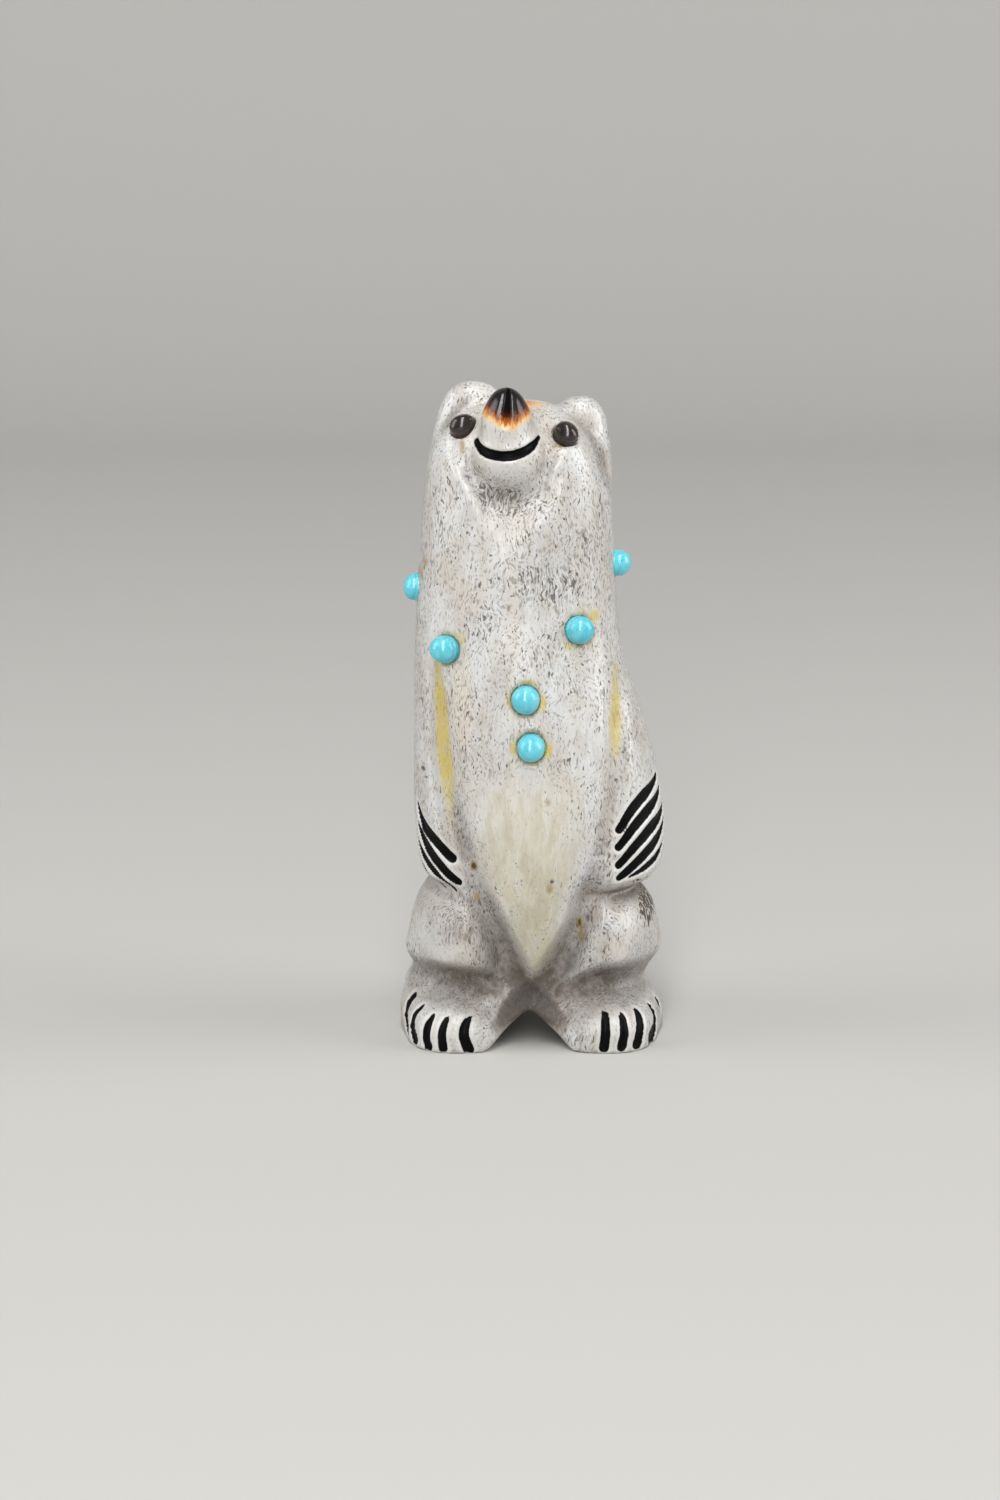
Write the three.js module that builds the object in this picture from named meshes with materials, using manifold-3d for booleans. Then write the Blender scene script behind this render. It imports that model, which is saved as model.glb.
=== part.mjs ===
// A standing bear, head thrown back, carved in one piece from a length of antler beam.
// Domed cabochons are set in drilled pockets; the mouth and the claws are engraved strokes.
// Millimetres, +Z up, the bear faces -Y, origin on the ground under the middle of its feet.
import * as THREE from "three";
import { mergeVertices } from "three/addons/utils/BufferGeometryUtils.js";
import Module from "manifold-3d";

const wasm = await Module();
wasm.setup();

// Driving dimensions
const HEIGHT = 96; // soles to nose
const CABOCHON_DIAMETER = 4;
const CABOCHON_DOME = 2.1; // height of the dome over its girdle
const EYE_WIDTH = 3.7;
const EYE_DOME = 1.3;
const GIRDLE = 1.5; // straight wall of a cabochon, most of it in its pocket
const GIRDLE_SHOWING = 0.3;
const GLUE_GAP = 0.3; // between an inlay and its pocket, at the wall and underneath
const CLAW_DEPTH = 0.4;
const MOUTH_WIDTH = 1.5;
const MOUTH_DEPTH = 0.6;
const TRENCH_FLOOR = 0.6; // a stroke's floor as a share of its width at the surface

// How finely the surfaces are faceted
const ROUND_FACETS = 18;
const DOME_FACETS = 3;
const CARVING_COLUMNS = 48;
const FRONT_CROWDING = 0.3; // share by which columns crowd towards the front
const CURVE_STEPS = 4;
const STROKE_STEPS = 2; // between two places that a stroke goes through

// The figure is drawn for a bear this high. Its proportions are shares of its own height.
const DRAWN_HEIGHT = 96;
const ENLARGE = HEIGHT / DRAWN_HEIGHT;

// The antler's outline as first cut: [height, distance from the axis], sides, front and back
const SIDE_LEFT = [
  [0, -18.5], [3, -19.1], [6.5, -18.6], [9.4, -17.7], [12, -18.4], [16, -17.5], [20, -16.2],
  [22.6, -15.1], [24.6, -16.1], [28.7, -16.8], [36, -17.1], [52, -17], [61, -16.7], [78, -15.6],
  [86, -14.6], [92.3, -12.4], [96, -9.5],
];
const SIDE_RIGHT = [
  [0, 18.7], [2.2, 19.3], [5, 18.3], [7.2, 16.8], [9.6, 17.8], [12.8, 19.2], [15.5, 18.7],
  [19.3, 17.2], [22.2, 15.6], [23.6, 17.9], [26, 19.3], [29.5, 19.6], [37.3, 18.7], [47.2, 16.3],
  [55.7, 13.5], [62, 12.5], [81, 11.4], [87, 10.9], [92, 9.4], [96, 7.5],
];
const FRONT = [
  [0, -12.6], [4, -12.2], [9, -11.4], [16, -12.4], [24, -14.4], [34, -15.7], [45, -15.4],
  [55, -14.2], [64, -12.9], [72, -12.6], [80, -12.3], [96, -11.5],
];
const BACK = [
  [0, 14], [6, 15.7], [12, 16.4], [20, 16.4], [34, 15.4], [50, 14.6], [68, 13.4], [84, 12.6], [96, 12],
];
const OUTLINE_BOXINESS = 2.3; // 2 is an ellipse, more is squarer

// The rounded top of the head
const CROWN = { at: [-2.2, 0.8, 78], size: [14.8, 12.4, 14.7], boxiness: 2.4, blend: 2, fallRight: 0.04 };
// Further down it widens out of the way: by the height below this one, over this, to this power
const CROWN_WIDENS = { below: 82, over: 40, power: 1.5 };

// Swellings: centre, half sizes, lean to the side and turn in degrees, boxiness, blend radius
const SWELLINGS = [
  {
    name: "left thigh", at: [-9.6, -3.4, 15.6], size: [6.8, 10.3, 7.2],
    lean: -10, turn: 6, boxiness: 2.4, blend: 2.4,
  },
  {
    name: "right thigh", at: [10.2, -3.4, 15.9], size: [7.2, 10.3, 7.4],
    lean: 12, turn: -6, boxiness: 2.4, blend: 2.4,
  },
  { name: "belly", at: [0.4, -4, 33], size: [8.6, 11.6, 27], boxiness: 2, blend: 3 },
  { name: "left foot", at: [-10.6, -4.2, 1.4], size: [7.9, 11.4, 5.9], turn: 4, boxiness: 2.7, blend: 1.6 },
  { name: "right foot", at: [10.8, -4.2, 1.4], size: [7.9, 11.4, 5.9], turn: -4, boxiness: 2.7, blend: 1.6 },
  { name: "left ear", at: [-8.7, 2.2, 86.5], size: [5.3, 3.8, 8.8], lean: 4, boxiness: 2.5, blend: 1.2 },
  { name: "right ear", at: [7.3, 2.2, 84.8], size: [4.2, 3.7, 8.3], lean: -4, boxiness: 2.7, blend: 1 },
  { name: "tail", at: [0.2, 14.8, 15], size: [3, 2.3, 5], boxiness: 2, blend: 2 },
];

// Cuts made from the front: a path in [x, z], with width and depth at even steps along it.
// A negative depth is a ridge left standing. A higher softness rounds the shoulders of a cut more.
// Each cut fades out behind its "to" depth in y.
const CUTS = [
  {
    name: "scoop round the muzzle",
    path: [[-9.8, 92], [-9.6, 87.5], [-8.6, 84], [-6.4, 81.4], [-3.2, 80.4], [0.2, 81.4], [2.2, 84.2],
      [2.9, 87.5], [2.8, 91]],
    width: [2.6, 3, 6, 3, 2.6], depth: [0.1, 1.2, 1.1, 1.2, 0.1], softness: 2, to: -1,
  },
  {
    name: "left cheek", path: [[-11.2, 88], [-9.9, 84], [-8.6, 80.3], [-7.4, 76.6]],
    width: [1.5, 2.2], depth: [0, -0.35, -0.3, 0], softness: 2, to: -1,
  },
  {
    name: "right cheek", path: [[4.7, 87.4], [3.3, 84.2], [1.6, 81]],
    width: [1.5, 2], depth: [0, -0.3, 0], softness: 2, to: -1,
  },
  {
    name: "left ear's rim", path: [[-13.4, 88.6], [-12.2, 91.6], [-9.8, 93.4], [-6.6, 93.8]],
    width: [1.2, 1.5], depth: [0.2, 0.55, 0.5, 0.1], softness: 1.3, to: 0,
  },
  {
    name: "right ear's rim", path: [[4.2, 92.8], [6.4, 90.2], [8.4, 87], [10.1, 84], [11.3, 81.4]],
    width: [1.2, 1.8], depth: [0, 0.6, 0.7, 0.5, 0.1], softness: 1.4, to: 0,
  },
  {
    name: "left arm's groove",
    path: [[-13.7, 58], [-13.1, 52.6], [-12.8, 48.3], [-12.1, 40.4], [-10.3, 31.3], [-8.3, 25]],
    width: [2, 2.2, 2.6, 3, 3.2], depth: [0, 0.6, 0.9, 1, 1, 1], softness: 1.6, to: 2,
  },
  {
    name: "right arm's groove",
    path: [[12.2, 56], [12.1, 50], [11.9, 43], [11.2, 36.4], [10.2, 29.3], [8.8, 24.5]],
    width: [2.2, 2.4, 2.6, 2.8, 3.2], depth: [0, 0.6, 0.9, 0.8, 0.8, 0.8], softness: 2, to: 2,
  },
  {
    name: "left of the belly", path: [[-8.8, 28], [-7.2, 22.5], [-5.2, 17], [-3.3, 12], [-1.4, 8]],
    width: [2, 2.5, 2.9, 3.4, 3.4], depth: [0, 1.3, 2.2, 2, 0.6], softness: 1.25, to: 2,
  },
  {
    name: "right of the belly", path: [[9.6, 28], [8.2, 23], [6.5, 17], [3.6, 11.2], [1.4, 8]],
    width: [2, 2.6, 2.9, 3.4, 3.4], depth: [0, 1.1, 2, 2, 0.6], softness: 1.25, to: 2,
  },
  {
    name: "under the left paw", path: [[-17, 22.6], [-12, 22.4], [-8.2, 21.6]],
    width: [2.2, 2.6], depth: [0.2, 0.8, 0.4], softness: 1.6, to: 2,
  },
  {
    name: "under the right paw", path: [[17, 22.6], [12, 22.6], [8.2, 22.8]],
    width: [2.2, 2.6], depth: [0.2, 0.8, 0.4], softness: 1.6, to: 2,
  },
  {
    name: "left ankle", path: [[-18, 9.6], [-11.5, 9.9], [-6, 9.4]],
    width: [2.6, 3.2, 2.4], depth: [0.3, 1.6, 1.1], softness: 1.1, to: 2,
  },
  {
    name: "right ankle", path: [[18, 10], [11, 9.8], [5.2, 7.6]],
    width: [2.8, 3.4, 1.8], depth: [0.3, 1.8, 0.8], softness: 1.1, to: 2,
  },
  {
    name: "middle of the belly", path: [[-0.6, 47], [-0.4, 38], [0, 28]],
    width: [2.6, 2.6], depth: [0, 0.3, 0], softness: 2, to: 2,
  },
];
const CUT_FADE = 1; // how softly a cut ends towards the back

// The muzzle: tapered limbs from one round end to the other, and the chin
const LIMBS = [
  { name: "muzzle", from: [-3.3, -7.8, 87], to: [-3.6, -9, 91], radius: [4.6, 3.3], blend: 1 },
  { name: "bridge of the nose", from: [-3.5, -8, 91], to: [-2.2, -1, 87.6], radius: [2.6, 4.4], blend: 2 },
];
const CHIN = { at: [-3.2, -8.4, 86], size: [4.5, 4.3, 4.4], boxiness: 2, blend: 1.6 };
const NOSE = { at: [-3.65, -9.1, 91.2], size: [3.3, 3.5, 4.8], boxiness: 2, blend: 0.8 };

// The arch between the feet runs from front to back, and its roof rises from some way in.
// Straight flanks meet in a rounded ridge, which is faceted at these shares of half its width.
const ARCH = { x: -0.3, height: 5.6, ridge: 0.84, slope: 0.97, rise: 0.05, from: -8 };
const ARCH_FACETS = [-1, -0.25, -0.12, -0.04, 0.04, 0.12, 0.25, 1];

// Rays from a line through the body find the surface. They fan out below it, run level along it and
// fan out above it: [from, to, rows], as angles of elevation, heights along the line, and angles again.
const SPINE_LOW = [0.2, 1, 11];
const SPINE_HIGH = [-2.2, -1, 84];
const FOOT_FAN = [[-90, -48, 2], [-48, 0, 11]];
const BODY_ROWS = [[11, 31, 12], [31, 75, 12], [75, 84, 4]];
const HEAD_FAN = [[0, 75, 13], [75, 90, 2]];
const FARTHEST = 45;
// A ray comes in by a share of its clearance at least this far, then the last step is halved and halved
const STEP_SHARE = 0.6;
const SHORTEST_STEP = 0.4;
const HALVINGS = 14;
const BELOW_GROUND = 2; // how far the form runs on under the ground, before its soles are cut

// Where the inlays sit: seen from the front [x, z], or from one side, -1 left and 1 right
const CABOCHONS = {
  turquoise_chest_left: { x: -12.3, z: 58.7 },
  turquoise_chest_right: { x: 6.7, z: 61.6 },
  turquoise_belly_upper: { x: -0.9, z: 52.1 },
  turquoise_belly_lower: { x: -0.1, z: 45.4 },
  turquoise_shoulder_left: { side: -1, y: -0.5, z: 65.8 },
  turquoise_shoulder_right: { side: 1, y: -0.5, z: 69.3 },
};
const EYES = {
  eye_left: { x: -9.8, z: 89.9 },
  eye_right: { x: 4.8, z: 89 },
};

// Engraved strokes: places [angle round from the front in degrees, height] along one, its width, and its
// shape, which is the share of that width from one end to the other
const BLUNT = [0.5, 1, 0.9, 0.68];
const POINTED = [0.3, 1, 0.8, 0.3];
const TOES = [0.5, 0.85, 0.95, 1];
const CLAWS = {
  leftHand: [
    { places: [[-73.1, 34.6], [-65.3, 32], [-53.9, 30], [-45.8, 28]], width: 2.1, shape: BLUNT },
    { places: [[-73.9, 31.6], [-63.2, 28.8], [-53, 26.4], [-44.1, 24.4]], width: 2.1, shape: BLUNT },
    { places: [[-80, 29.9], [-70.4, 27.3], [-58.4, 25], [-48.5, 22.9]], width: 1.8, shape: POINTED },
    { places: [[-84, 28], [-75.5, 25.5], [-66.6, 23.9], [-57.3, 22.7]], width: 0.9, shape: POINTED },
  ],
  rightHand: [
    { places: [[79.1, 38.7], [61.1, 37], [50.7, 35.1], [44.6, 32.7]], width: 1.9, shape: BLUNT },
    { places: [[82, 36.6], [63, 34.7], [51.9, 32.7], [44.3, 30.1]], width: 1.9, shape: BLUNT },
    { places: [[85.1, 33.9], [65.2, 32.1], [53.8, 30], [45.2, 27.4]], width: 2, shape: BLUNT },
    { places: [[82.4, 31.9], [66.9, 29.5], [56, 27.5], [46.8, 25.4]], width: 2, shape: BLUNT },
    { places: [[80.5, 29.3], [71.4, 27.4], [60.9, 26.1], [52.2, 25.2]], width: 1.5, shape: POINTED },
  ],
  leftFoot: [
    { places: [[-70, 6.1], [-71.8, 4.7], [-71.6, 3.1], [-65.7, 1.7]], width: 2.3, shape: TOES },
    { places: [[-57.1, 5.7], [-58.5, 4.2], [-58, 2.7], [-55, 1.2]], width: 2, shape: TOES },
    { places: [[-46.9, 5.2], [-47.1, 3.9], [-47.2, 2.3], [-46.1, 0.7]], width: 1.55, shape: TOES },
    { places: [[-40.5, 5.2], [-40.3, 4], [-40.2, 2.7], [-39.5, 0.7]], width: 1.4, shape: TOES },
    { places: [[-32.4, 5.3], [-32.5, 4.1], [-32.1, 2.6], [-30.2, 0.5]], width: 1.65, shape: TOES },
  ],
  rightFoot: [
    { places: [[40.6, 6.4], [36.2, 4.8], [34.6, 2.9], [33.9, 0.9]], width: 1.5, shape: TOES },
    { places: [[44, 5.7], [42.3, 4.3], [41.3, 2.6], [40.3, 1]], width: 1.5, shape: TOES },
    { places: [[52.1, 5.7], [50.6, 4.4], [48.8, 2.8], [47.2, 1.1]], width: 1.8, shape: TOES },
    { places: [[65.3, 5.1], [65.9, 3.6], [63.7, 2.2], [57.8, 1.2]], width: 2.6, shape: TOES },
    { places: [[79.8, 5.1], [81, 4], [80.3, 3]], width: 1.4, shape: POINTED },
  ],
};
// The mouth goes through places seen from the front, [x, z]
const MOUTH = {
  places: [[-8, 88.3], [-7.3, 87.4], [-5.6, 86.9], [-3.5, 86.8], [-1.5, 87.2], [0.1, 88], [1.1, 89]],
  width: MOUTH_WIDTH,
  shape: [0.6, 0.85, 0.95, 1, 1, 0.8, 0.3],
};

// Vectors and curves
const along = (a, b, t) => a.map((v, i) => v + (b[i] - v) * t);
const clamp = (v, low, high) => Math.min(Math.max(v, low), high);
const radians = THREE.MathUtils.degToRad;

// The value at even steps: list[0] at t = 0, its last at t = 1, straight in between.
function atStep(list, t) {
  const place = clamp(t, 0, 1) * (list.length - 1);
  const i = Math.min(Math.floor(place), list.length - 2);
  return list[i] + (list[i + 1] - list[i]) * (place - i);
}

// A smooth line through [height, value] stations that never swings past them.
function smoothLine(stations) {
  const last = stations.length - 1;
  const rise = stations.slice(1).map(([t, v], i) => (v - stations[i][1]) / (t - stations[i][0]));
  const slope = stations.map((_, i) => {
    if (i === 0) return rise[0];
    if (i === last) return rise[last - 1];
    const [a, b] = [rise[i - 1], rise[i]];
    return a * b > 0 ? (2 * a * b) / (a + b) : 0;
  });
  return (z) => {
    const t = clamp(z, stations[0][0], stations[last][0]);
    let i = 0;
    while (i < last - 1 && t >= stations[i + 1][0]) i += 1;
    const [[t0, v0], [t1, v1]] = [stations[i], stations[i + 1]];
    const h = t1 - t0;
    const s = (t - t0) / h;
    const r = 1 - s;
    const ends = v0 * (1 + 2 * s) * r * r + v1 * s * s * (3 - 2 * s);
    return ends + h * s * r * (slope[i] * r - slope[i + 1] * s);
  };
}

// Points along a smooth curve through the given ones, with this many steps from one to the next.
function smoothPath(points, steps) {
  const curve = new THREE.SplineCurve(points.map(([a, b]) => new THREE.Vector2(a, b)));
  return curve.getPoints((points.length - 1) * steps).map((p) => [p.x, p.y]);
}

// Joining and cutting rounded forms. A form is below zero inside; blend is the radius of the fillet.
function join(a, b, blend) {
  const h = clamp(0.5 + (0.5 * (b - a)) / blend, 0, 1);
  return b + (a - b) * h - blend * h * (1 - h);
}
const keepWithin = (a, b, blend) => -join(-a, -b, blend);

// A rounded block: its surface is where the scaled distances, each to the power boxiness, sum to one.
function pebble(p, { at, size, lean = 0, turn = 0, boxiness }) {
  const q = new THREE.Vector3(p[0] - at[0], p[1] - at[1], p[2] - at[2]);
  if (turn) q.applyAxisAngle(new THREE.Vector3(0, 0, 1), -radians(turn));
  if (lean) q.applyAxisAngle(new THREE.Vector3(0, 1, 0), -radians(lean));
  const sum = [q.x, q.y, q.z].reduce((s, v, i) => s + Math.abs(v / size[i]) ** boxiness, 1e-9);
  const r = q.length();
  return r - r / sum ** (1 / boxiness);
}

// A tapered limb with round ends.
function limb(p, { from, to, radius }) {
  const axis = to.map((v, i) => v - from[i]);
  const length2 = axis.reduce((s, v) => s + v * v, 0);
  const t = clamp(axis.reduce((s, v, i) => s + v * (p[i] - from[i]), 0) / length2, 0, 1);
  return Math.hypot(...p.map((v, i) => v - from[i] - axis[i] * t)) - atStep(radius, t);
}

const sideLeft = smoothLine(SIDE_LEFT);
const sideRight = smoothLine(SIDE_RIGHT);
const front = smoothLine(FRONT);
const back = smoothLine(BACK);

// The antler as first cut: every level is a rounded rectangle between the four outlines.
function column([x, y, z]) {
  const [left, right] = [sideLeft(z), sideRight(z)];
  const [middle, half] = [(left + right) / 2, (right - left) / 2];
  const deep = y < 0 ? -front(z) : back(z);
  const sum = Math.abs((x - middle) / half) ** OUTLINE_BOXINESS + Math.abs(y / deep) ** OUTLINE_BOXINESS;
  const r = Math.hypot(x - middle, y);
  return r - r / (sum + 1e-12) ** (1 / OUTLINE_BOXINESS);
}

// The top of the head, a rounded block above its centre and widening out of the way below it.
function crown([x, y, z]) {
  const lift = Math.max(z - CROWN.at[2], 0);
  const widen = 1 + (Math.max(CROWN_WIDENS.below - z, 0) / CROWN_WIDENS.over) ** CROWN_WIDENS.power;
  const [dx, dy] = [x - CROWN.at[0], y - CROWN.at[1]];
  const size = [CROWN.size[0] * widen, CROWN.size[1] * widen, CROWN.size[2] - CROWN.fallRight * x];
  const sum = [dx, dy, lift].reduce((s, v, i) => s + Math.abs(v / size[i]) ** CROWN.boxiness, 1e-12);
  const r = Math.hypot(dx, dy, lift);
  return r - r / sum ** (1 / CROWN.boxiness);
}

const cuts = CUTS.map((cut) => ({ ...cut, line: smoothPath(cut.path, CURVE_STEPS) }));

// How much a cut takes away at a point: full depth on its path, nothing past its width.
function cutDepth([x, y, z], { line, width, depth, softness, to }) {
  let nearest = Infinity;
  let share = 0;
  for (let i = 0; i < line.length - 1; i += 1) {
    const [[x0, z0], [x1, z1]] = [line[i], line[i + 1]];
    const [dx, dz] = [x1 - x0, z1 - z0];
    const t = clamp(((x - x0) * dx + (z - z0) * dz) / (dx * dx + dz * dz), 0, 1);
    const distance = Math.hypot(x - x0 - t * dx, z - z0 - t * dz);
    if (distance < nearest) {
      nearest = distance;
      share = (i + t) / (line.length - 1);
    }
  }
  const off = nearest / atStep(width, share);
  if (off >= 1) return 0;
  return (atStep(depth, share) * (1 - off * off) ** softness) / (1 + Math.exp((y - to) / CUT_FADE));
}

// The whole carving as drawn, before the soles are cut flat and the arch is cut between them.
function carving(p) {
  let f = keepWithin(column(p), crown(p), CROWN.blend);
  for (const swelling of SWELLINGS) f = join(f, pebble(p, swelling), swelling.blend);
  for (const cut of cuts) f += cutDepth(p, cut);
  for (const part of LIMBS) f = join(f, limb(p, part), part.blend);
  for (const swelling of [CHIN, NOSE]) f = join(f, pebble(p, swelling), swelling.blend);
  return f;
}

// The first point of the carving met on the way from outside, going inwards from the far end of a ray.
function surfaceOn(origin, direction, floor = -Infinity) {
  const point = (t) => origin.map((v, i) => v + direction[i] * t);
  const clear = (t) => {
    const p = point(t);
    return Math.max(carving(p), floor - p[2]);
  };
  let [inner, outer] = [FARTHEST, FARTHEST];
  while (inner > 0) {
    const distance = clear(inner);
    if (distance <= 0) break;
    outer = inner;
    inner -= Math.max(SHORTEST_STEP, STEP_SHARE * distance);
  }
  for (let i = 0; i < HALVINGS; i += 1) {
    const middle = (inner + outer) / 2;
    if (clear(middle) > 0) outer = middle;
    else inner = middle;
  }
  return point((inner + outer) / 2);
}

// The direction straight out of the surface.
function outward(p) {
  const d = 0.05;
  const slope = [0, 1, 2].map((axis) => {
    const step = (sign) => p.map((v, i) => v + (i === axis ? sign * d : 0));
    return carving(step(1)) - carving(step(-1));
  });
  return new THREE.Vector3(...slope).normalize();
}

// Seats on the surface: a point at full size, and the direction out of it
const seat = (p) => ({ point: new THREE.Vector3(...p).multiplyScalar(ENLARGE), normal: outward(p) });
const seatFromFront = (x, z) => seat(surfaceOn([x, 0, z], [0, -1, 0]));
const seatFromSide = (side, y, z) => seat(surfaceOn([0, y, z], [side, 0, 0]));
function seatRound(degrees, z) {
  const a = radians(degrees);
  return seat(surfaceOn([0, 0, z], [Math.sin(a), -Math.cos(a), 0]));
}

// A closed surface from rings of points, each ring with the same number, closed by a point at each end.
function closedRings(first, rings, last) {
  const n = rings[0].length;
  const positions = [first, ...rings.flat(), last].flat();
  const end = 1 + rings.length * n;
  const index = [];
  for (let j = 0; j < n; j += 1) {
    const k = (j + 1) % n;
    index.push(0, 1 + k, 1 + j);
    for (let i = 0; i < rings.length - 1; i += 1) {
      const [a, b] = [1 + i * n + j, 1 + i * n + k];
      index.push(a, b, b + n, a, b + n, a + n);
    }
    index.push(end - n + j, end - n + k, end);
  }
  return new THREE.BufferGeometry()
    .setAttribute("position", new THREE.Float32BufferAttribute(positions, 3))
    .setIndex(index);
}

// Solids for joining and cutting, and back again
function solidOf(geometry) {
  const bare = new THREE.BufferGeometry()
    .setAttribute("position", geometry.getAttribute("position").clone())
    .setIndex(geometry.getIndex());
  const merged = mergeVertices(bare, 1e-4);
  return new wasm.Manifold(
    new wasm.Mesh({
      numProp: 3,
      vertProperties: new Float32Array(merged.getAttribute("position").array),
      triVerts: new Uint32Array(merged.getIndex().array),
    }),
  );
}

function geometryOf(solid) {
  const mesh = solid.getMesh();
  const positions = [];
  for (let i = 0; i < mesh.numVert; i += 1) {
    positions.push(...mesh.vertProperties.subarray(i * mesh.numProp, i * mesh.numProp + 3));
  }
  const geometry = new THREE.BufferGeometry()
    .setAttribute("position", new THREE.Float32BufferAttribute(positions, 3))
    .setIndex([...mesh.triVerts]);
  geometry.computeVertexNormals();
  return geometry;
}

// The carving before the inlays: rays from the spine, fanned out at the feet and at the head
function evenSteps([from, to, count]) {
  return Array.from({ length: count }, (_, i) => from + ((to - from) * i) / count);
}

function rayRows() {
  const share = (z) => (z - SPINE_LOW[2]) / (SPINE_HIGH[2] - SPINE_LOW[2]);
  const low = FOOT_FAN.flatMap(evenSteps).slice(1); // its first angle is the end point, straight down
  return [
    ...low.map((angle) => [0, angle]),
    ...BODY_ROWS.flatMap(evenSteps).map((z) => [share(z), 0]),
    ...HEAD_FAN.flatMap(evenSteps).map((angle) => [1, angle]),
  ];
}

function antlerForm() {
  const ray = (share, elevation, round) => {
    const up = radians(elevation);
    const direction = [Math.cos(up) * Math.sin(round), -Math.cos(up) * Math.cos(round), Math.sin(up)];
    return surfaceOn(along(SPINE_LOW, SPINE_HIGH, share), direction, -BELOW_GROUND).map((v) => v * ENLARGE);
  };
  const rings = rayRows().map(([share, elevation]) =>
    Array.from({ length: CARVING_COLUMNS }, (_, j) => {
      const turn = (2 * Math.PI * j) / CARVING_COLUMNS;
      return ray(share, elevation, turn - FRONT_CROWDING * Math.sin(turn));
    }),
  );
  return solidOf(closedRings(ray(0, -90, 0), rings, ray(1, 90, 0)));
}

// What lies below the ground, cut away to leave the flat soles
function belowGround() {
  const across = 2 * HEIGHT;
  const block = new THREE.BoxGeometry(across, across, HEIGHT);
  return solidOf(block.translate(0, 0, -HEIGHT / 2));
}

// The tunnel that leaves the arch between the feet
function archTunnel() {
  const reach = HEIGHT / 4;
  const ring = (y) => {
    const top = ARCH.height + Math.max(y - ARCH.from, 0) * ARCH.rise;
    const half = (top + BELOW_GROUND) / ARCH.slope + ARCH.ridge;
    return ARCH_FACETS.map((share) => {
      const across = share * half;
      const z = top - (Math.hypot(across, ARCH.ridge) - ARCH.ridge) * ARCH.slope;
      return [ARCH.x + across, y, z].map((v) => v * ENLARGE);
    });
  };
  const middle = (y) => [ARCH.x, y, 0].map((v) => v * ENLARGE);
  return solidOf(closedRings(middle(-reach), [ring(-reach), ring(ARCH.from), ring(reach)], middle(reach)));
}

// A cabochon stands on a straight girdle and ends in a low or high dome. Its axis is the geometry's Y.
function cabochon(diameter, dome) {
  const profile = [new THREE.Vector2(0, -GIRDLE), new THREE.Vector2(diameter / 2, -GIRDLE)];
  for (let i = 0; i <= DOME_FACETS; i += 1) {
    const a = (Math.PI / 2) * (i / DOME_FACETS);
    profile.push(new THREE.Vector2(i === DOME_FACETS ? 0 : (diameter / 2) * Math.cos(a), dome * Math.sin(a)));
  }
  return new THREE.LatheGeometry(profile, ROUND_FACETS);
}

function setOnSeat(object, { point, normal }, lift) {
  object.position.copy(point).addScaledVector(normal, lift);
  object.quaternion.setFromUnitVectors(new THREE.Vector3(0, 1, 0), normal);
  object.updateMatrix();
  return object;
}

// The drilled pocket for a cabochon, open well past the surface
function pocket(diameter, where) {
  const depth = GIRDLE - GIRDLE_SHOWING + GLUE_GAP;
  const opening = GIRDLE;
  const drill = new THREE.CylinderGeometry(
    diameter / 2 + GLUE_GAP, diameter / 2 + GLUE_GAP, depth + opening, ROUND_FACETS,
  );
  const place = setOnSeat(new THREE.Object3D(), where, (opening - depth) / 2);
  return solidOf(drill.applyMatrix4(place.matrix));
}

// One engraved stroke: a trench that follows the surface through its seats, as wide as its shape says
function stroke(seats, { width, shape }, depth) {
  const above = GLUE_GAP * 2;
  const rings = seats.map(({ point, normal }, i) => {
    const before = seats[Math.max(i - 1, 0)].point;
    const after = seats[Math.min(i + 1, seats.length - 1)].point;
    const side = new THREE.Vector3().subVectors(after, before).cross(normal).normalize();
    const half = (width / 2) * ENLARGE * atStep(shape, i / (seats.length - 1));
    const corner = (across, up) =>
      point.clone().addScaledVector(side, across * half).addScaledVector(normal, up).toArray();
    return [
      corner(-1, above), corner(1, above), corner(TRENCH_FLOOR, -depth), corner(-TRENCH_FLOOR, -depth),
    ];
  });
  const centre = (ring) => [0, 1, 2].map((i) => ring.reduce((s, p) => s + p[i], 0) / ring.length);
  return solidOf(closedRings(centre(rings[0]), rings, centre(rings[rings.length - 1])));
}

const clawStroke = (claw) =>
  stroke(smoothPath(claw.places, STROKE_STEPS).map(([angle, z]) => seatRound(angle, z)), claw, CLAW_DEPTH);
const mouthStroke = (mouth) =>
  stroke(smoothPath(mouth.places, STROKE_STEPS).map(([x, z]) => seatFromFront(x, z)), mouth, MOUTH_DEPTH);

// Assembly
const finish = (color, roughness) => new THREE.MeshStandardMaterial({ color, roughness, metalness: 0 });
const antler = finish(0xd8d2c8, 0.35);
const turquoise = finish(0x5fc3d3, 0.2);
const darkStone = finish(0x2b2422, 0.12);

const bear = new THREE.Group();
const tools = [belowGround(), archTunnel()];

function setInlays(places, diameter, dome, material) {
  for (const [name, { x, y, z, side }] of Object.entries(places)) {
    const where = side ? seatFromSide(side, y, z) : seatFromFront(x, z);
    const stone = new THREE.Mesh(cabochon(diameter, dome), material);
    stone.name = name;
    bear.add(setOnSeat(stone, where, GIRDLE_SHOWING));
    tools.push(pocket(diameter, where));
  }
}

setInlays(CABOCHONS, CABOCHON_DIAMETER, CABOCHON_DOME, turquoise);
setInlays(EYES, EYE_WIDTH, EYE_DOME, darkStone);
tools.push(...Object.values(CLAWS).flat().map(clawStroke), mouthStroke(MOUTH));

const carved = tools.reduce((solid, tool) => solid.subtract(tool), antlerForm());
const body = new THREE.Mesh(geometryOf(carved), antler);
body.name = "antler_bear";
bear.add(body);

export default bear;
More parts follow.
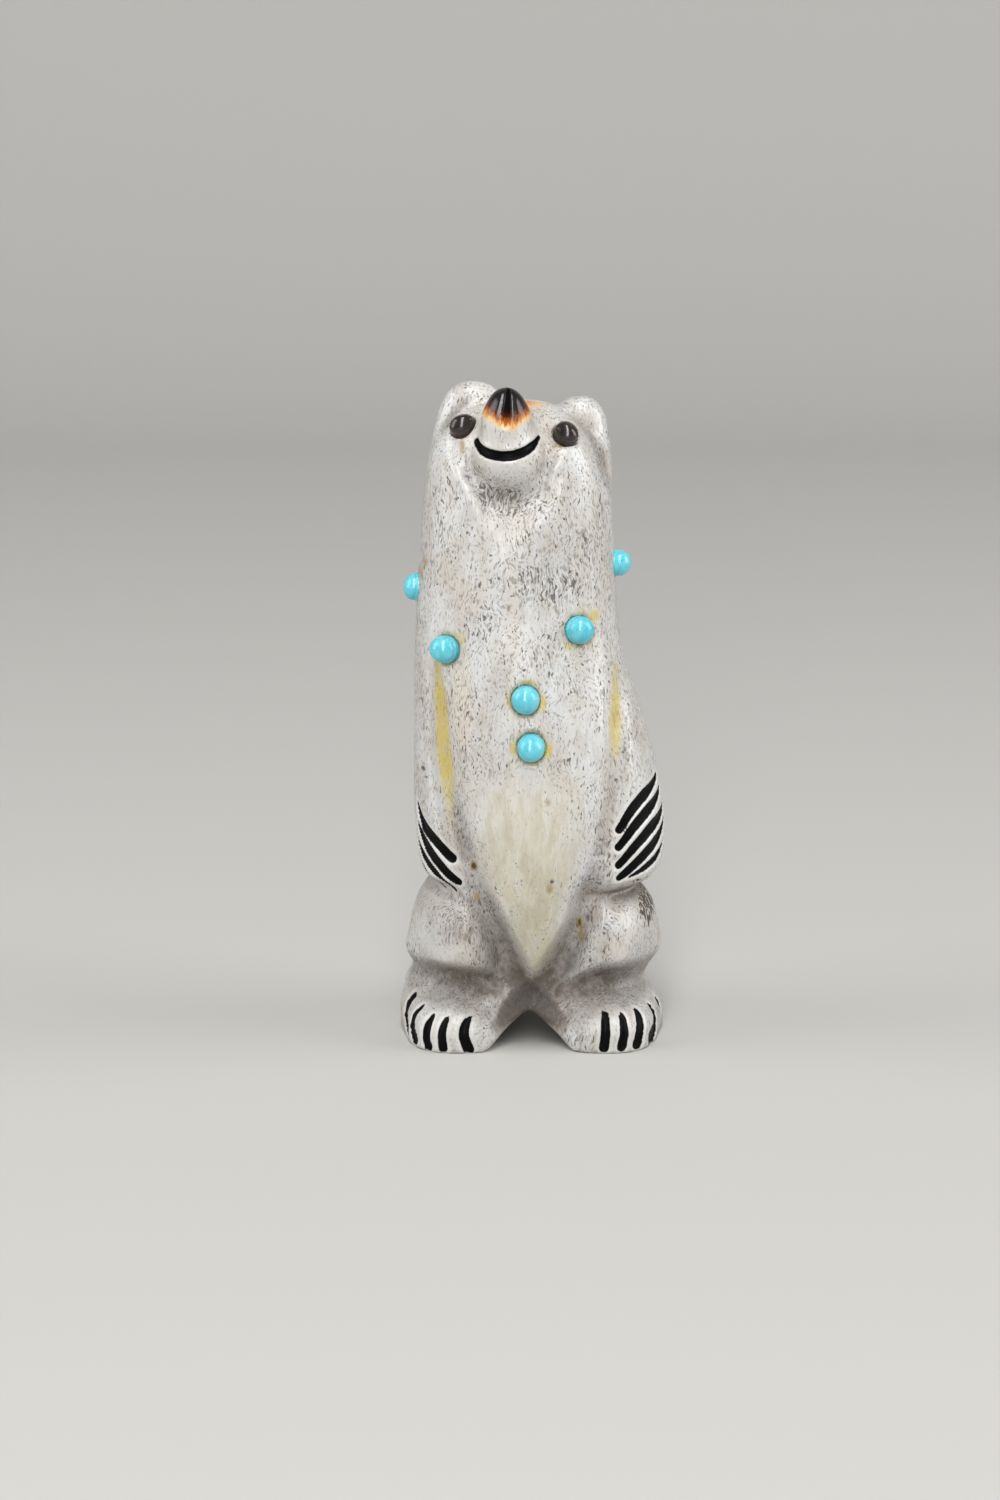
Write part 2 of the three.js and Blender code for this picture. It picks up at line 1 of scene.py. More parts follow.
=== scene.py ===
# %% [markdown]
# # A standing bear carved from antler
#
# A carver has taken a hand's breadth of antler beam, stood it on end and let as much of it be as possible.
# The beam itself is still the bear's back and sides, the head is thrown back into its top, and two notches
# and two long grooves are enough to tell paws, belly, thighs and feet apart. Turquoise cabochons are glued
# into drilled pockets, the eyes are two dark stones, the claws and the mouth are cut strokes rubbed with
# black, and the nose has been scorched with a flame.
#
# The frame holds every piece where the solid model has it. This script gives each of them its final
# surface.

import bpy
import numpy as np
from mathutils import Matrix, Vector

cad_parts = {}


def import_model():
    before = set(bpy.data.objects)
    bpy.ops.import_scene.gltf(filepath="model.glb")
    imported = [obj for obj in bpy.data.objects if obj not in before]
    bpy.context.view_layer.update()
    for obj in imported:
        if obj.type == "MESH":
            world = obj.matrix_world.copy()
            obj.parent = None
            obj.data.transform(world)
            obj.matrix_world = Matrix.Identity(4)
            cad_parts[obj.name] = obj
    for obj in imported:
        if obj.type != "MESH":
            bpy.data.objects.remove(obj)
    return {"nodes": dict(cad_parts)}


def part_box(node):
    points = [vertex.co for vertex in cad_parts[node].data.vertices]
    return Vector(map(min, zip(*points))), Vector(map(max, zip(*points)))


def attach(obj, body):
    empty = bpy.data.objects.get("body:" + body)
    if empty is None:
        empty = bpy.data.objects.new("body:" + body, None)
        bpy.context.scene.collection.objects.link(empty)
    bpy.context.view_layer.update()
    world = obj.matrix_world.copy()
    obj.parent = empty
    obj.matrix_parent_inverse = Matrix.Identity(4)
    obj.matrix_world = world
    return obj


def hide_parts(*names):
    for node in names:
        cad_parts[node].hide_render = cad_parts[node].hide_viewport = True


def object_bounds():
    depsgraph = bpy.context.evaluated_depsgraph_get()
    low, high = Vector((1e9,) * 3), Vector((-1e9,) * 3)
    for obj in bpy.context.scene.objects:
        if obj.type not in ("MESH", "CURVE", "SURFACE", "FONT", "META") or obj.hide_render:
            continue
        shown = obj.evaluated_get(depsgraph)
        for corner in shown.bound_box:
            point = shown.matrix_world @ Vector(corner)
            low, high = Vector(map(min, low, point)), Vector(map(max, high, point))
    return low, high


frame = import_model()
cad_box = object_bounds()
corners = [tuple(round(v, 4) for v in c) for c in cad_box]
print("the frame has", len(frame["nodes"]), "nodes in a box of", corners)

# %% [markdown]
# ## How a carving can be described
#
# A carving could be sculpted by hand, or built from hundreds of placed points. Here it is one function of
# x, y and z instead, which is below zero inside the antler and above zero outside. That suits what a carver
# does: start with the beam, round it over, leave a swelling standing here and take a hollow away there.
# Each of those is one more line, and a fillet comes for nothing, because two functions can be blended where
# they meet.
#
# All of it is drawn in millimetres for a bear 96 mm high, facing -Y, and is scaled to the frame at the end.

# %% Joining, keeping and carving


def join(a, b, blend):
    """The smaller of a and b with a fillet of that size: b + (a - b)h - blend h(1 - h), h from 0 to 1."""
    h = np.clip(0.5 + 0.5 * (b - a) / blend, 0, 1)
    return b + (a - b) * h - blend * h * (1 - h)


def keep_within(a, b, blend):
    """What lies inside both a and b, its edge rounded over."""
    return -join(-a, -b, blend)


def carve_out(a, b, blend):
    """What is left of a once b is taken away."""
    return -join(-a, b, blend)


print("where two walls meet, a blend of 2 mm adds", round(float(-join(0, 0, 2.0)), 2), "mm")

# %% [markdown]
# ## Smooth lines and paths
#
# The beam's outline is read at a few heights, and a line drawn through them must not swing past them, or
# the waist would bulge. Cubic pieces whose slopes are the harmonic mean of their neighbours' do that. A
# groove's path may swing a little, as a file does, so it follows a Catmull-Rom curve.

# %% A line through stations, and a curve through points


def smooth_line(stations, z):
    """The value at height z of a cubic line through [height, value] stations, never past its neighbours."""
    t, v = np.array(stations, float).T
    h = np.diff(t)
    rise = np.diff(v) / h
    slope = np.concatenate([rise[:1], np.zeros(len(h) - 1), rise[-1:]])
    product = rise[:-1] * rise[1:]
    slope[1:-1] = np.where(product > 0, 2 * product / (rise[:-1] + rise[1:] + 1e-12), 0)
    z = np.clip(z, t[0], t[-1])
    i = np.clip(np.searchsorted(t, z, side="right") - 1, 0, len(h) - 1)
    s = (z - t[i]) / h[i]
    ends = v[i] * (1 + 2 * s) * (1 - s) ** 2 + v[i + 1] * s * s * (3 - 2 * s)
    return ends + h[i] * s * (1 - s) * (slope[i] * (1 - s) - slope[i + 1] * s)


def smooth_path(points, steps=8):
    """A Catmull-Rom curve: between two points, a cubic whose slopes are half the gap of their neighbours."""
    p = np.array(points, float)
    p = np.concatenate([2 * p[:1] - p[1:2], p, 2 * p[-1:] - p[-2:-1]])
    t = (np.arange(steps) / steps)[:, None, None]
    a, b, c, d = p[:-3], p[1:-2], p[2:-1], p[3:]
    curve = 0.5 * (2 * b + (c - a) * t + (2 * a - 5 * b + 4 * c - d) * t**2 + (3 * b - a - 3 * c + d) * t**3)
    return np.concatenate([curve.transpose(1, 0, 2).reshape(-1, p.shape[1]), p[-2:-1]])


def near_path(p, path):
    """How far points are from a path of straight pieces, and where along it the nearest place is, 0 to 1."""
    best = np.full(p.shape[:-1], 1e9)
    place = np.zeros(p.shape[:-1])
    for i, (a, b) in enumerate(zip(path[:-1], path[1:])):
        t = np.clip((p - a) @ (b - a) / ((b - a) @ (b - a)), 0, 1)
        distance = np.sqrt(((p - a - t[..., None] * (b - a)) ** 2).sum(-1))
        place = np.where(distance < best, (i + t) / (len(path) - 1), place)
        best = np.minimum(best, distance)
    return best, place


def at_step(values, place):
    """The value at a place from 0 to 1 along evenly spaced values, straight in between."""
    return np.interp(place, np.linspace(0, 1, len(values)), values)


print("a path of 3 points becomes one of", len(smooth_path([(0, 0), (1, 1), (2, 0)])))

# %% [markdown]
# ## The beam
#
# Antler grows as a slightly flattened tube, and the carver has kept nearly all of it. Its outline is given
# from the left, the right, the front and the back, and each level between them is a superellipse, a rounded
# rectangle between a circle and a box. The notches in the sides are the carver's first cuts: under the paws
# and above the feet. The top is rounded over into the head.

# %% The beam and the crown of the head
SIDE_LEFT = [
    (0, -18.5), (3, -19.1), (6.5, -18.6), (9.4, -17.7), (12, -18.4), (16, -17.5), (20, -16.2),
    (22.6, -15.1), (24.6, -16.1), (28.7, -16.8), (36, -17.1), (52, -17), (61, -16.7), (78, -15.6),
    (86, -14.6), (92.3, -12.4), (96, -9.5),
]
SIDE_RIGHT = [
    (0, 18.7), (2.2, 19.3), (5, 18.3), (7.2, 16.8), (9.6, 17.8), (12.8, 19.2), (15.5, 18.7), (19.3, 17.2),
    (22.2, 15.6), (23.6, 17.9), (26, 19.3), (29.5, 19.6), (37.3, 18.7), (47.2, 16.3), (55.7, 13.5),
    (62, 12.5), (81, 11.4), (87, 10.9), (92, 9.4), (96, 7.5),
]
FRONT = [
    (0, -12.6), (4, -12.2), (9, -11.4), (16, -12.4), (24, -14.4), (34, -15.7), (45, -15.4), (55, -14.2),
    (64, -12.9), (72, -12.6), (80, -12.3), (96, -11.5),
]
BACK = [
    (0, 14), (6, 15.7), (12, 16.4), (20, 16.4), (34, 15.4), (50, 14.6), (68, 13.4), (84, 12.6), (96, 12),
]
OUTLINE_BOXINESS = 2.3
CROWN_MIDDLE, CROWN_SIZE, CROWN_TILT, CROWN_BOXINESS = (-2.2, 0.8, 78), (14.8, 12.4, 14.7), 0.04, 2.4
CROWN_WIDENS_BELOW, CROWN_WIDENS_OVER, CROWN_WIDENS_POWER = 82, 40, 1.5


def rounded_block(x, y, z, size, boxiness):
    """r - r / s, where r is the distance to the centre and s ^ boxiness the sum of |x / size| ^ boxiness."""
    total = sum(np.abs(v / s) ** boxiness for v, s in zip((x, y, z), size)) + 1e-9
    r = np.sqrt(x * x + y * y + z * z)
    return r - r / total ** (1 / boxiness)


def beam(p):
    """The antler as first cut: every level is a rounded rectangle between the four outlines."""
    x, y, z = p[..., 0], p[..., 1], p[..., 2]
    left, right = smooth_line(SIDE_LEFT, z), smooth_line(SIDE_RIGHT, z)
    deep = np.where(y < 0, -smooth_line(FRONT, z), smooth_line(BACK, z))
    return rounded_block(x - (left + right) / 2, y, 0 * z, ((right - left) / 2, deep, 1), OUTLINE_BOXINESS)


def crown(p):
    """The top of the head, a rounded block that widens out of the way further down."""
    x, y, z = np.moveaxis(p - np.array(CROWN_MIDDLE), -1, 0)
    widen = 1 + (np.clip(CROWN_WIDENS_BELOW - p[..., 2], 0, None) / CROWN_WIDENS_OVER) ** CROWN_WIDENS_POWER
    wide, deep, tall = CROWN_SIZE
    size = (wide * widen, deep * widen, tall - CROWN_TILT * p[..., 0])
    return rounded_block(x, y, np.clip(z, 0, None), size, CROWN_BOXINESS)


left, right = (float(smooth_line(side, 50.0)) for side in (SIDE_LEFT, SIDE_RIGHT))
print("the beam is", round(right - left, 1), "mm wide at mid-height")

# %% [markdown]
# ## What is left standing
#
# Thighs, belly, feet, ears and chin are swellings: rounded blocks joined to the beam with a fillet. The
# muzzle is two tapered limbs, one up to the nose and one back along its bridge.

# %% Swellings and limbs
# centre, half sizes, lean to the side and turn in degrees, boxiness, fillet
SWELLINGS = {
    "left thigh": ((-9.6, -3.4, 15.6), (6.8, 10.3, 7.2), -10, 6, 2.4, 2.4),
    "right thigh": ((10.2, -3.4, 15.9), (7.2, 10.3, 7.4), 12, -6, 2.4, 2.4),
    "belly": ((0.4, -4, 33), (8.6, 11.6, 27), 0, 0, 2, 3),
    "left foot": ((-10.6, -4.2, 1.4), (7.9, 11.4, 5.9), 0, 4, 2.7, 1.6),
    "right foot": ((10.8, -4.2, 1.4), (7.9, 11.4, 5.9), 0, -4, 2.7, 1.6),
    "left ear": ((-8.7, 2.2, 86.5), (5.3, 3.8, 8.8), 4, 0, 2.5, 1.2),
    "right ear": ((7.3, 2.2, 84.8), (4.2, 3.7, 8.3), -4, 0, 2.7, 1),
    "tail": ((0.2, 14.8, 15), (3, 2.3, 5), 0, 0, 2, 2),
}
CHIN = ((-3.2, -8.4, 86), (4.5, 4.3, 4.4), 0, 0, 2, 1.6)
NOSE = ((-3.65, -9.1, 91.2), (3.3, 3.5, 4.8), 0, 0, 2, 0.8)
# from, to, radius at each end, fillet
LIMBS = {
    "muzzle": ((-3.3, -7.8, 87), (-3.6, -9, 91), 4.6, 3.3, 1),
    "bridge of the nose": ((-3.5, -8, 91), (-2.2, -1, 87.6), 2.6, 4.4, 2),
}


def swell(f, p, centre, size, lean, turn, boxiness, fillet):
    """Joins a rounded block, turned about Z and then leant about its own Y, to the form f."""
    a, b = np.radians(lean), np.radians(turn)
    x, y, z = np.moveaxis(p - np.array(centre), -1, 0)
    x, y = x * np.cos(b) + y * np.sin(b), y * np.cos(b) - x * np.sin(b)
    x, z = x * np.cos(a) - z * np.sin(a), z * np.cos(a) + x * np.sin(a)
    return join(f, rounded_block(x, y, z, size, boxiness), fillet)


def reach_out(f, p, start, end, start_radius, end_radius, fillet):
    """Joins a tapered limb: the distance to its axis, less a radius that changes evenly along it."""
    distance, place = near_path(p, np.array([start, end], float))
    return join(f, distance - start_radius - (end_radius - start_radius) * place, fillet)


print(len(SWELLINGS) + 2, "swellings and", len(LIMBS), "limbs")

# %% [markdown]
# ## What is taken away
#
# The rest is done with round files and a burr: long valleys beside the belly, hollows under the paws and
# over the feet, and the scoop that frees the muzzle. Each is a path seen from the front with a width and a
# depth along it, and it fades out round the sides. A negative depth leaves a ridge standing. Because they
# depend on x and z alone, their depths are worked out once on a map and read from there.

# %% Cuts and the arch between the feet
# path in (x, z), widths and depths along it, softness of its shoulders, the y behind which it fades
CUTS = {
    "scoop round the muzzle": (
        [(-9.8, 92), (-9.6, 87.5), (-8.6, 84), (-6.4, 81.4), (-3.2, 80.4), (0.2, 81.4), (2.2, 84.2),
         (2.9, 87.5), (2.8, 91)],
        (2.6, 3, 6, 3, 2.6), (0.1, 1.2, 1.1, 1.2, 0.1), 2, -1,
    ),
    "left cheek": (
        [(-11.2, 88), (-9.9, 84), (-8.6, 80.3), (-7.4, 76.6)], (1.5, 2.2), (0, -0.35, -0.3, 0), 2, -1,
    ),
    "right cheek": ([(4.7, 87.4), (3.3, 84.2), (1.6, 81)], (1.5, 2), (0, -0.3, 0), 2, -1),
    "left ear's rim": (
        [(-13.4, 88.6), (-12.2, 91.6), (-9.8, 93.4), (-6.6, 93.8)],
        (1.2, 1.5), (0.2, 0.55, 0.5, 0.1), 1.3, 0,
    ),
    "right ear's rim": (
        [(4.2, 92.8), (6.4, 90.2), (8.4, 87), (10.1, 84), (11.3, 81.4)],
        (1.2, 1.8), (0, 0.6, 0.7, 0.5, 0.1), 1.4, 0,
    ),
    "left arm's groove": (
        [(-13.7, 58), (-13.1, 52.6), (-12.8, 48.3), (-12.1, 40.4), (-10.3, 31.3), (-8.3, 25)],
        (2, 2.2, 2.6, 3, 3.2), (0, 0.6, 0.9, 1, 1, 1), 1.6, 2,
    ),
    "right arm's groove": (
        [(12.2, 56), (12.1, 50), (11.9, 43), (11.2, 36.4), (10.2, 29.3), (8.8, 24.5)],
        (2.2, 2.4, 2.6, 2.8, 3.2), (0, 0.6, 0.9, 0.8, 0.8, 0.8), 2, 2,
    ),
    "left of the belly": (
        [(-8.8, 28), (-7.2, 22.5), (-5.2, 17), (-3.3, 12), (-1.4, 8)],
        (2, 2.5, 2.9, 3.4, 3.4), (0, 1.3, 2.2, 2, 0.6), 1.25, 2,
    ),
    "right of the belly": (
        [(9.6, 28), (8.2, 23), (6.5, 17), (3.6, 11.2), (1.4, 8)],
        (2, 2.6, 2.9, 3.4, 3.4), (0, 1.1, 2, 2, 0.6), 1.25, 2,
    ),
    "under the left paw": ([(-17, 22.6), (-12, 22.4), (-8.2, 21.6)], (2.2, 2.6), (0.2, 0.8, 0.4), 1.6, 2),
    "under the right paw": ([(17, 22.6), (12, 22.6), (8.2, 22.8)], (2.2, 2.6), (0.2, 0.8, 0.4), 1.6, 2),
    "left ankle": ([(-18, 9.6), (-11.5, 9.9), (-6, 9.4)], (2.6, 3.2, 2.4), (0.3, 1.6, 1.1), 1.1, 2),
    "right ankle": ([(18, 10), (11, 9.8), (5.2, 7.6)], (2.8, 3.4, 1.8), (0.3, 1.8, 0.8), 1.1, 2),
    "middle of the belly": ([(-0.6, 47), (-0.4, 38), (0, 28)], (2.6, 2.6), (0, 0.3, 0), 2, 2),
}
ARCH_X, ARCH_HEIGHT, ARCH_RIDGE, ARCH_SLOPE, ARCH_RISE, ARCH_FROM = -0.3, 5.2, 0.84, 0.97, 0.05, -8
CROWN_BLEND, ARCH_BLEND, BASE_BLEND = 2, 0.9, 0.4
MAP_X, MAP_Z, MAP_STEP = (-22, 22), (-4, 100), 0.2


def cut_depth(x, z, path, widths, depths, softness):
    """Depth times (1 - (d / width)^2) ^ softness at a distance d from the path. Both change along it."""
    distance, place = near_path(np.stack([x, z], -1), smooth_path(path))
    off = np.clip(distance / at_step(widths, place), 0, 1)
    return at_step(depths, place) * (1 - off * off) ** softness


map_x, map_z = np.meshgrid(np.arange(*MAP_X, MAP_STEP), np.arange(*MAP_Z, MAP_STEP))
MAPS = {to: sum(cut_depth(map_x, map_z, *c[:4]) for c in CUTS.values() if c[4] == to) for to in (-1, 0, 2)}


def all_cuts(p):
    """The depth of all cuts: each map is read between its four nearest values, and fades out past y = to."""
    i = np.clip((p[..., 2] - MAP_Z[0]) / MAP_STEP, 0, map_x.shape[0] - 1.001)
    j = np.clip((p[..., 0] - MAP_X[0]) / MAP_STEP, 0, map_x.shape[1] - 1.001)
    row, column = i.astype(int), j.astype(int)
    s, t = i - row, j - column
    total = np.zeros(s.shape)
    for to, depth in MAPS.items():
        near = depth[row, column] * (1 - t) + depth[row, column + 1] * t
        far = depth[row + 1, column] * (1 - t) + depth[row + 1, column + 1] * t
        total += (near + (far - near) * s) / (1 + np.exp(p[..., 1] - to))
    return total


def arch(p):
    """Below zero in the tunnel between the feet: straight flanks and a round ridge that rises inwards."""
    x, y, z = p[..., 0], p[..., 1], p[..., 2]
    roof = ARCH_HEIGHT + np.clip(y - ARCH_FROM, 0, None) * ARCH_RISE
    fall = (np.hypot(x - ARCH_X, ARCH_RIDGE) - ARCH_RIDGE) * ARCH_SLOPE
    return (z - roof + fall) / np.hypot(1, ARCH_SLOPE)


def carving(p):
    """The whole bear as one function of the point: below zero inside."""
    f = keep_within(beam(p), crown(p), CROWN_BLEND)
    for swelling in SWELLINGS.values():
        f = swell(f, p, *swelling)
    f = f + all_cuts(p)
    for limb in LIMBS.values():
        f = reach_out(f, p, *limb)
    f = swell(swell(f, p, *CHIN), p, *NOSE)
    f = carve_out(f, arch(p), ARCH_BLEND)
    return keep_within(f, -p[..., 2], BASE_BLEND)


belly_gap = round(float(carving(np.array([0.0, -15.0, 40.0]))), 2)
print(len(CUTS), "cuts; the belly's middle is", belly_gap, "mm from y = -15")

# %% [markdown]
# ## From the function to a mesh
#
# A grid of rays leaves a spine inside the bear, and every ray is followed inwards until the function is
# zero. The rays fan out downwards at the feet, run level along the body and fan out upwards at the head, so
# the grid closes at two poles only. It is finer where the camera and the claws are: towards the front, and
# at head, paws and feet. A coarse grid is solved first and gives the fine one its start.

# %% Rays from a spine
SPINE_LOW, SPINE_HIGH = np.array([0.2, 1, 11]), np.array([-2.2, -1, 84])
COLUMNS, COARSE = 288, 4  # the coarse grid has every fourth ray
FRONT_CROWDING = 0.4
STEP_SHARE, NEAREST, FARTHEST, FIRST_REACH = 0.75, 0.5, 45, 42.0
# from, to, rows: angles of elevation in the lower fan, heights along the spine, angles in the upper fan
LOWER_FAN = [(-89, -42, 14), (-42, 0, 46)]
SPINE = [(11, 21, 32), (21, 41, 76), (41, 76, 72), (76, 84, 26)]
UPPER_FAN = [(0, 60, 56), (60, 89.4, 16)]


def spread(stretches):
    """Evenly spaced values along each stretch, as one array."""
    return np.concatenate([np.linspace(a, b, n, endpoint=False) for a, b, n in stretches])


def rays(step=1):
    """The start and the direction of every ray: sideways (cos e sin u, -cos e cos u), upwards sin e."""
    low, body, high = spread(LOWER_FAN), spread(SPINE), spread(UPPER_FAN)
    share = np.concatenate([0 * low, (body - SPINE_LOW[2]) / (SPINE_HIGH[2] - SPINE_LOW[2]), 0 * high + 1])
    lift = np.radians(np.concatenate([low, 0 * body, high]))
    share, lift = share[::step, None], lift[::step, None]
    turn = 2 * np.pi * np.arange(0, COLUMNS, step)[None] / COLUMNS
    turn = turn - FRONT_CROWDING * np.sin(turn)
    flat = np.cos(lift)
    way = np.stack([flat * np.sin(turn), -flat * np.cos(turn), np.sin(lift) + 0 * turn], -1)
    return SPINE_LOW + share[..., None] * (SPINE_HIGH - SPINE_LOW) + 0 * way, way


def follow(start, way, reach, rounds):
    """Moves along each ray by three quarters of the function's value, again and again, until it is zero."""
    for _ in range(rounds):
        reach = np.clip(reach - STEP_SHARE * carving(start + reach[..., None] * way), NEAREST, FARTHEST)
    return reach


def refine(coarse, step, rows, columns):
    """Linear in between, first down the rows and then round the columns, which close on themselves."""
    at = np.clip(np.arange(rows) / step, 0, len(coarse) - 1)
    i = np.minimum(at.astype(int), len(coarse) - 2)
    fine = coarse[i] + (coarse[i + 1] - coarse[i]) * (at - i)[:, None]
    fine = np.concatenate([fine, fine[:, :1]], 1)
    at = np.arange(columns) / step
    j = at.astype(int)
    return fine[:, j] + (fine[:, j + 1] - fine[:, j]) * (at - j)


start, way = rays(COARSE)
coarse = follow(start, way, np.full(way.shape[:2], FIRST_REACH), 40)
start, way = rays()
reach = follow(start, way, refine(coarse, COARSE, *way.shape[:2]), 12)
skin = start + reach[..., None] * way
print("the grid has", skin.shape[:2], "points and fits to", float(np.abs(carving(skin)).max().round(3)), "mm")
print("it spans", skin.reshape(-1, 3).min(0).round(2), skin.reshape(-1, 3).max(0).round(2))

# %% [markdown]
# ## Places on the surface
#
# The carver marks where each stone and each claw goes on the finished form, so these places are found on it
# too: a ray comes in from the front, from a side or from some angle round the bear, and stops at the
# surface. Out of the surface is the way in which the function grows fastest.

# %% Seats
HEIGHT_DRAWN = skin[..., 2].max()
low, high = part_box("antler_bear")
SCALE = (high[2] - low[2]) / HEIGHT_DRAWN  # metres to each drawn millimetre
MM = 0.001 / SCALE  # a real millimetre in the drawing


def outward(p):
    """The direction in which the function grows fastest, from its differences over 0.1 mm."""
    steps = 0.05 * np.eye(3)
    slope = np.stack([carving(p + s) - carving(p - s) for s in steps], -1)
    return slope / np.linalg.norm(slope, axis=-1, keepdims=True)


def seats(origins, ways):
    """Where rays meet the surface, and the direction out of it there."""
    origins, ways = np.array(origins, float), np.array(ways, float)
    reach = follow(origins, ways, np.full(origins.shape[:-1], FIRST_REACH), 90)
    points = origins + reach[..., None] * ways
    return points, outward(points)


def seats_from_front(places):
    """Seats at (x, z) as seen from the front."""
    return seats([(x, 0, z) for x, z in places], [(0, -1, 0)] * len(places))


def seats_round(places):
    """Seats at (angle from the front in degrees, height)."""
    a = np.radians([p[0] for p in places])
    return seats([(0, 0, p[1]) for p in places], np.stack([np.sin(a), -np.cos(a), 0 * a], 1))


print("one drawn millimetre is", round(SCALE * 1000, 4), "mm")

# %% [markdown]
# ## Claws and mouth
#
# Each claw is one stroke of a burr, a shallow trench with round ends, and the mouth is a wider one. The
# strokes are kept as curves on the surface. How far a point of the skin is inside a stroke, in millimetres,
# goes into the mesh as a value of its own, because the black in them has a sharper edge than any mesh that
# can be carried.

# %% The strokes
BLUNT, POINTED, TOES = (0.5, 1, 0.9, 0.68), (0.3, 1, 0.8, 0.3), (0.5, 0.85, 0.95, 1)
# places from one end to the other as (angle from the front, height), width, and shares of it along the stroke
CLAWS = [
    ([(-73.1, 34.6), (-65.3, 32), (-53.9, 30), (-45.8, 28)], 2.1, BLUNT),
    ([(-73.9, 31.6), (-63.2, 28.8), (-53, 26.4), (-44.1, 24.4)], 2.1, BLUNT),
    ([(-80, 29.9), (-70.4, 27.3), (-58.4, 25), (-48.5, 22.9)], 1.8, POINTED),
    ([(-84, 28), (-75.5, 25.5), (-66.6, 23.9), (-57.3, 22.7)], 0.9, POINTED),
    ([(79.1, 38.7), (61.1, 37), (50.7, 35.1), (44.6, 32.7)], 1.9, BLUNT),
    ([(82, 36.6), (63, 34.7), (51.9, 32.7), (44.3, 30.1)], 1.9, BLUNT),
    ([(85.1, 33.9), (65.2, 32.1), (53.8, 30), (45.2, 27.4)], 2, BLUNT),
    ([(82.4, 31.9), (66.9, 29.5), (56, 27.5), (46.8, 25.4)], 2, BLUNT),
    ([(80.5, 29.3), (71.4, 27.4), (60.9, 26.1), (52.2, 25.2)], 1.5, POINTED),
    ([(-70, 6.1), (-71.8, 4.7), (-71.6, 3.1), (-65.7, 1.7)], 2.3, TOES),
    ([(-57.1, 5.7), (-58.5, 4.2), (-58, 2.7), (-55, 1.2)], 2, TOES),
    ([(-46.9, 5.2), (-47.1, 3.9), (-47.2, 2.3), (-46.1, 0.7)], 1.55, TOES),
    ([(-40.5, 5.2), (-40.3, 4), (-40.2, 2.7), (-39.5, 0.7)], 1.4, TOES),
    ([(-32.4, 5.3), (-32.5, 4.1), (-32.1, 2.6), (-30.2, 0.5)], 1.65, TOES),
    ([(40.6, 6.4), (36.2, 4.8), (34.6, 2.9), (33.9, 0.9)], 1.5, TOES),
    ([(44, 5.7), (42.3, 4.3), (41.3, 2.6), (40.3, 1)], 1.5, TOES),
    ([(52.1, 5.7), (50.6, 4.4), (48.8, 2.8), (47.2, 1.1)], 1.8, TOES),
    ([(65.3, 5.1), (65.9, 3.6), (63.7, 2.2), (57.8, 1.2)], 2.6, TOES),
    ([(79.8, 5.1), (81, 4), (80.3, 3)], 1.4, POINTED),
]
MOUTH = [(-8, 88.3), (-7.3, 87.4), (-5.6, 86.9), (-3.5, 86.8), (-1.5, 87.2), (0.1, 88), (1.1, 89)]
MOUTH_WIDTH, MOUTH_SHARES = 1.5, (0.75, 0.95, 1, 1, 1, 0.85, 0.35)
CLAW_DEPTH, MOUTH_DEPTH = 0.4 * MM, 0.6 * MM


def inside_stroke(points, width, shares):
    """Half the stroke's width less the distance to it: above zero on the stroke, below zero off it."""
    distance, place = near_path(skin, points)
    return at_step(shares, place) * width / 2 - distance


claw_paths = [seats_round(smooth_path(places, 3))[0] for places, _, _ in CLAWS]
claw = np.max([inside_stroke(path, c[1], c[2]) for path, c in zip(claw_paths, CLAWS)], axis=0)
mouth_path = smooth_path(seats_from_front(MOUTH)[0], 4)
mouth = inside_stroke(mouth_path, MOUTH_WIDTH, MOUTH_SHARES)
in_claws, in_mouth = int((claw > 0).sum()), int((mouth > 0).sum())
print(len(CLAWS), "claws;", in_claws, "points of the grid lie in them and", in_mouth, "in the mouth")

# %% [markdown]
# ## Where the stones go
#
# Six pockets are drilled for cabochons of 4 mm and two for the eyes. A drilled edge is crisp, and a grid
# would turn it into a saw blade. So the points of the grid near each rim first slide onto it, outside or
# inside, and then everything inside is lowered.

# %% Pockets
CABOCHON, GLUE_GAP, POCKET_DEPTH = 4.0 * MM, 0.2 * MM, 0.7 * MM
EYE = 3.7 * MM
# for each seat, where the ray that finds it starts and which way it goes
CABOCHONS = {
    "turquoise_chest_left": ((-12.3, 0, 58.7), (0, -1, 0)),
    "turquoise_chest_right": ((6.7, 0, 61.6), (0, -1, 0)),
    "turquoise_belly_upper": ((-0.9, 0, 52.1), (0, -1, 0)),
    "turquoise_belly_lower": ((-0.1, 0, 45.4), (0, -1, 0)),
    "turquoise_shoulder_left": ((0, -0.5, 65.8), (-1, 0, 0)),
    "turquoise_shoulder_right": ((0, -0.5, 69.3), (1, 0, 0)),
}
EYES = {"eye_left": ((-9.8, 0, 89.9), (0, -1, 0)), "eye_right": ((4.8, 0, 89), (0, -1, 0))}
RIM = 0.22  # how near to a rim a point has to be to slide onto it
BESIDE = 3  # how far above or below a seat the drill still reaches
SLACK = {"turquoise_chest_left": (0.28, 0, -0.08)}  # how far a pocket's middle is off its stone's


def find_seats(places):
    """Name to (point, direction out) for rays given by a start and a way."""
    points, out = seats([p[0] for p in places.values()], [p[1] for p in places.values()])
    return {name: (point, way) for name, point, way in zip(places, points, out)}


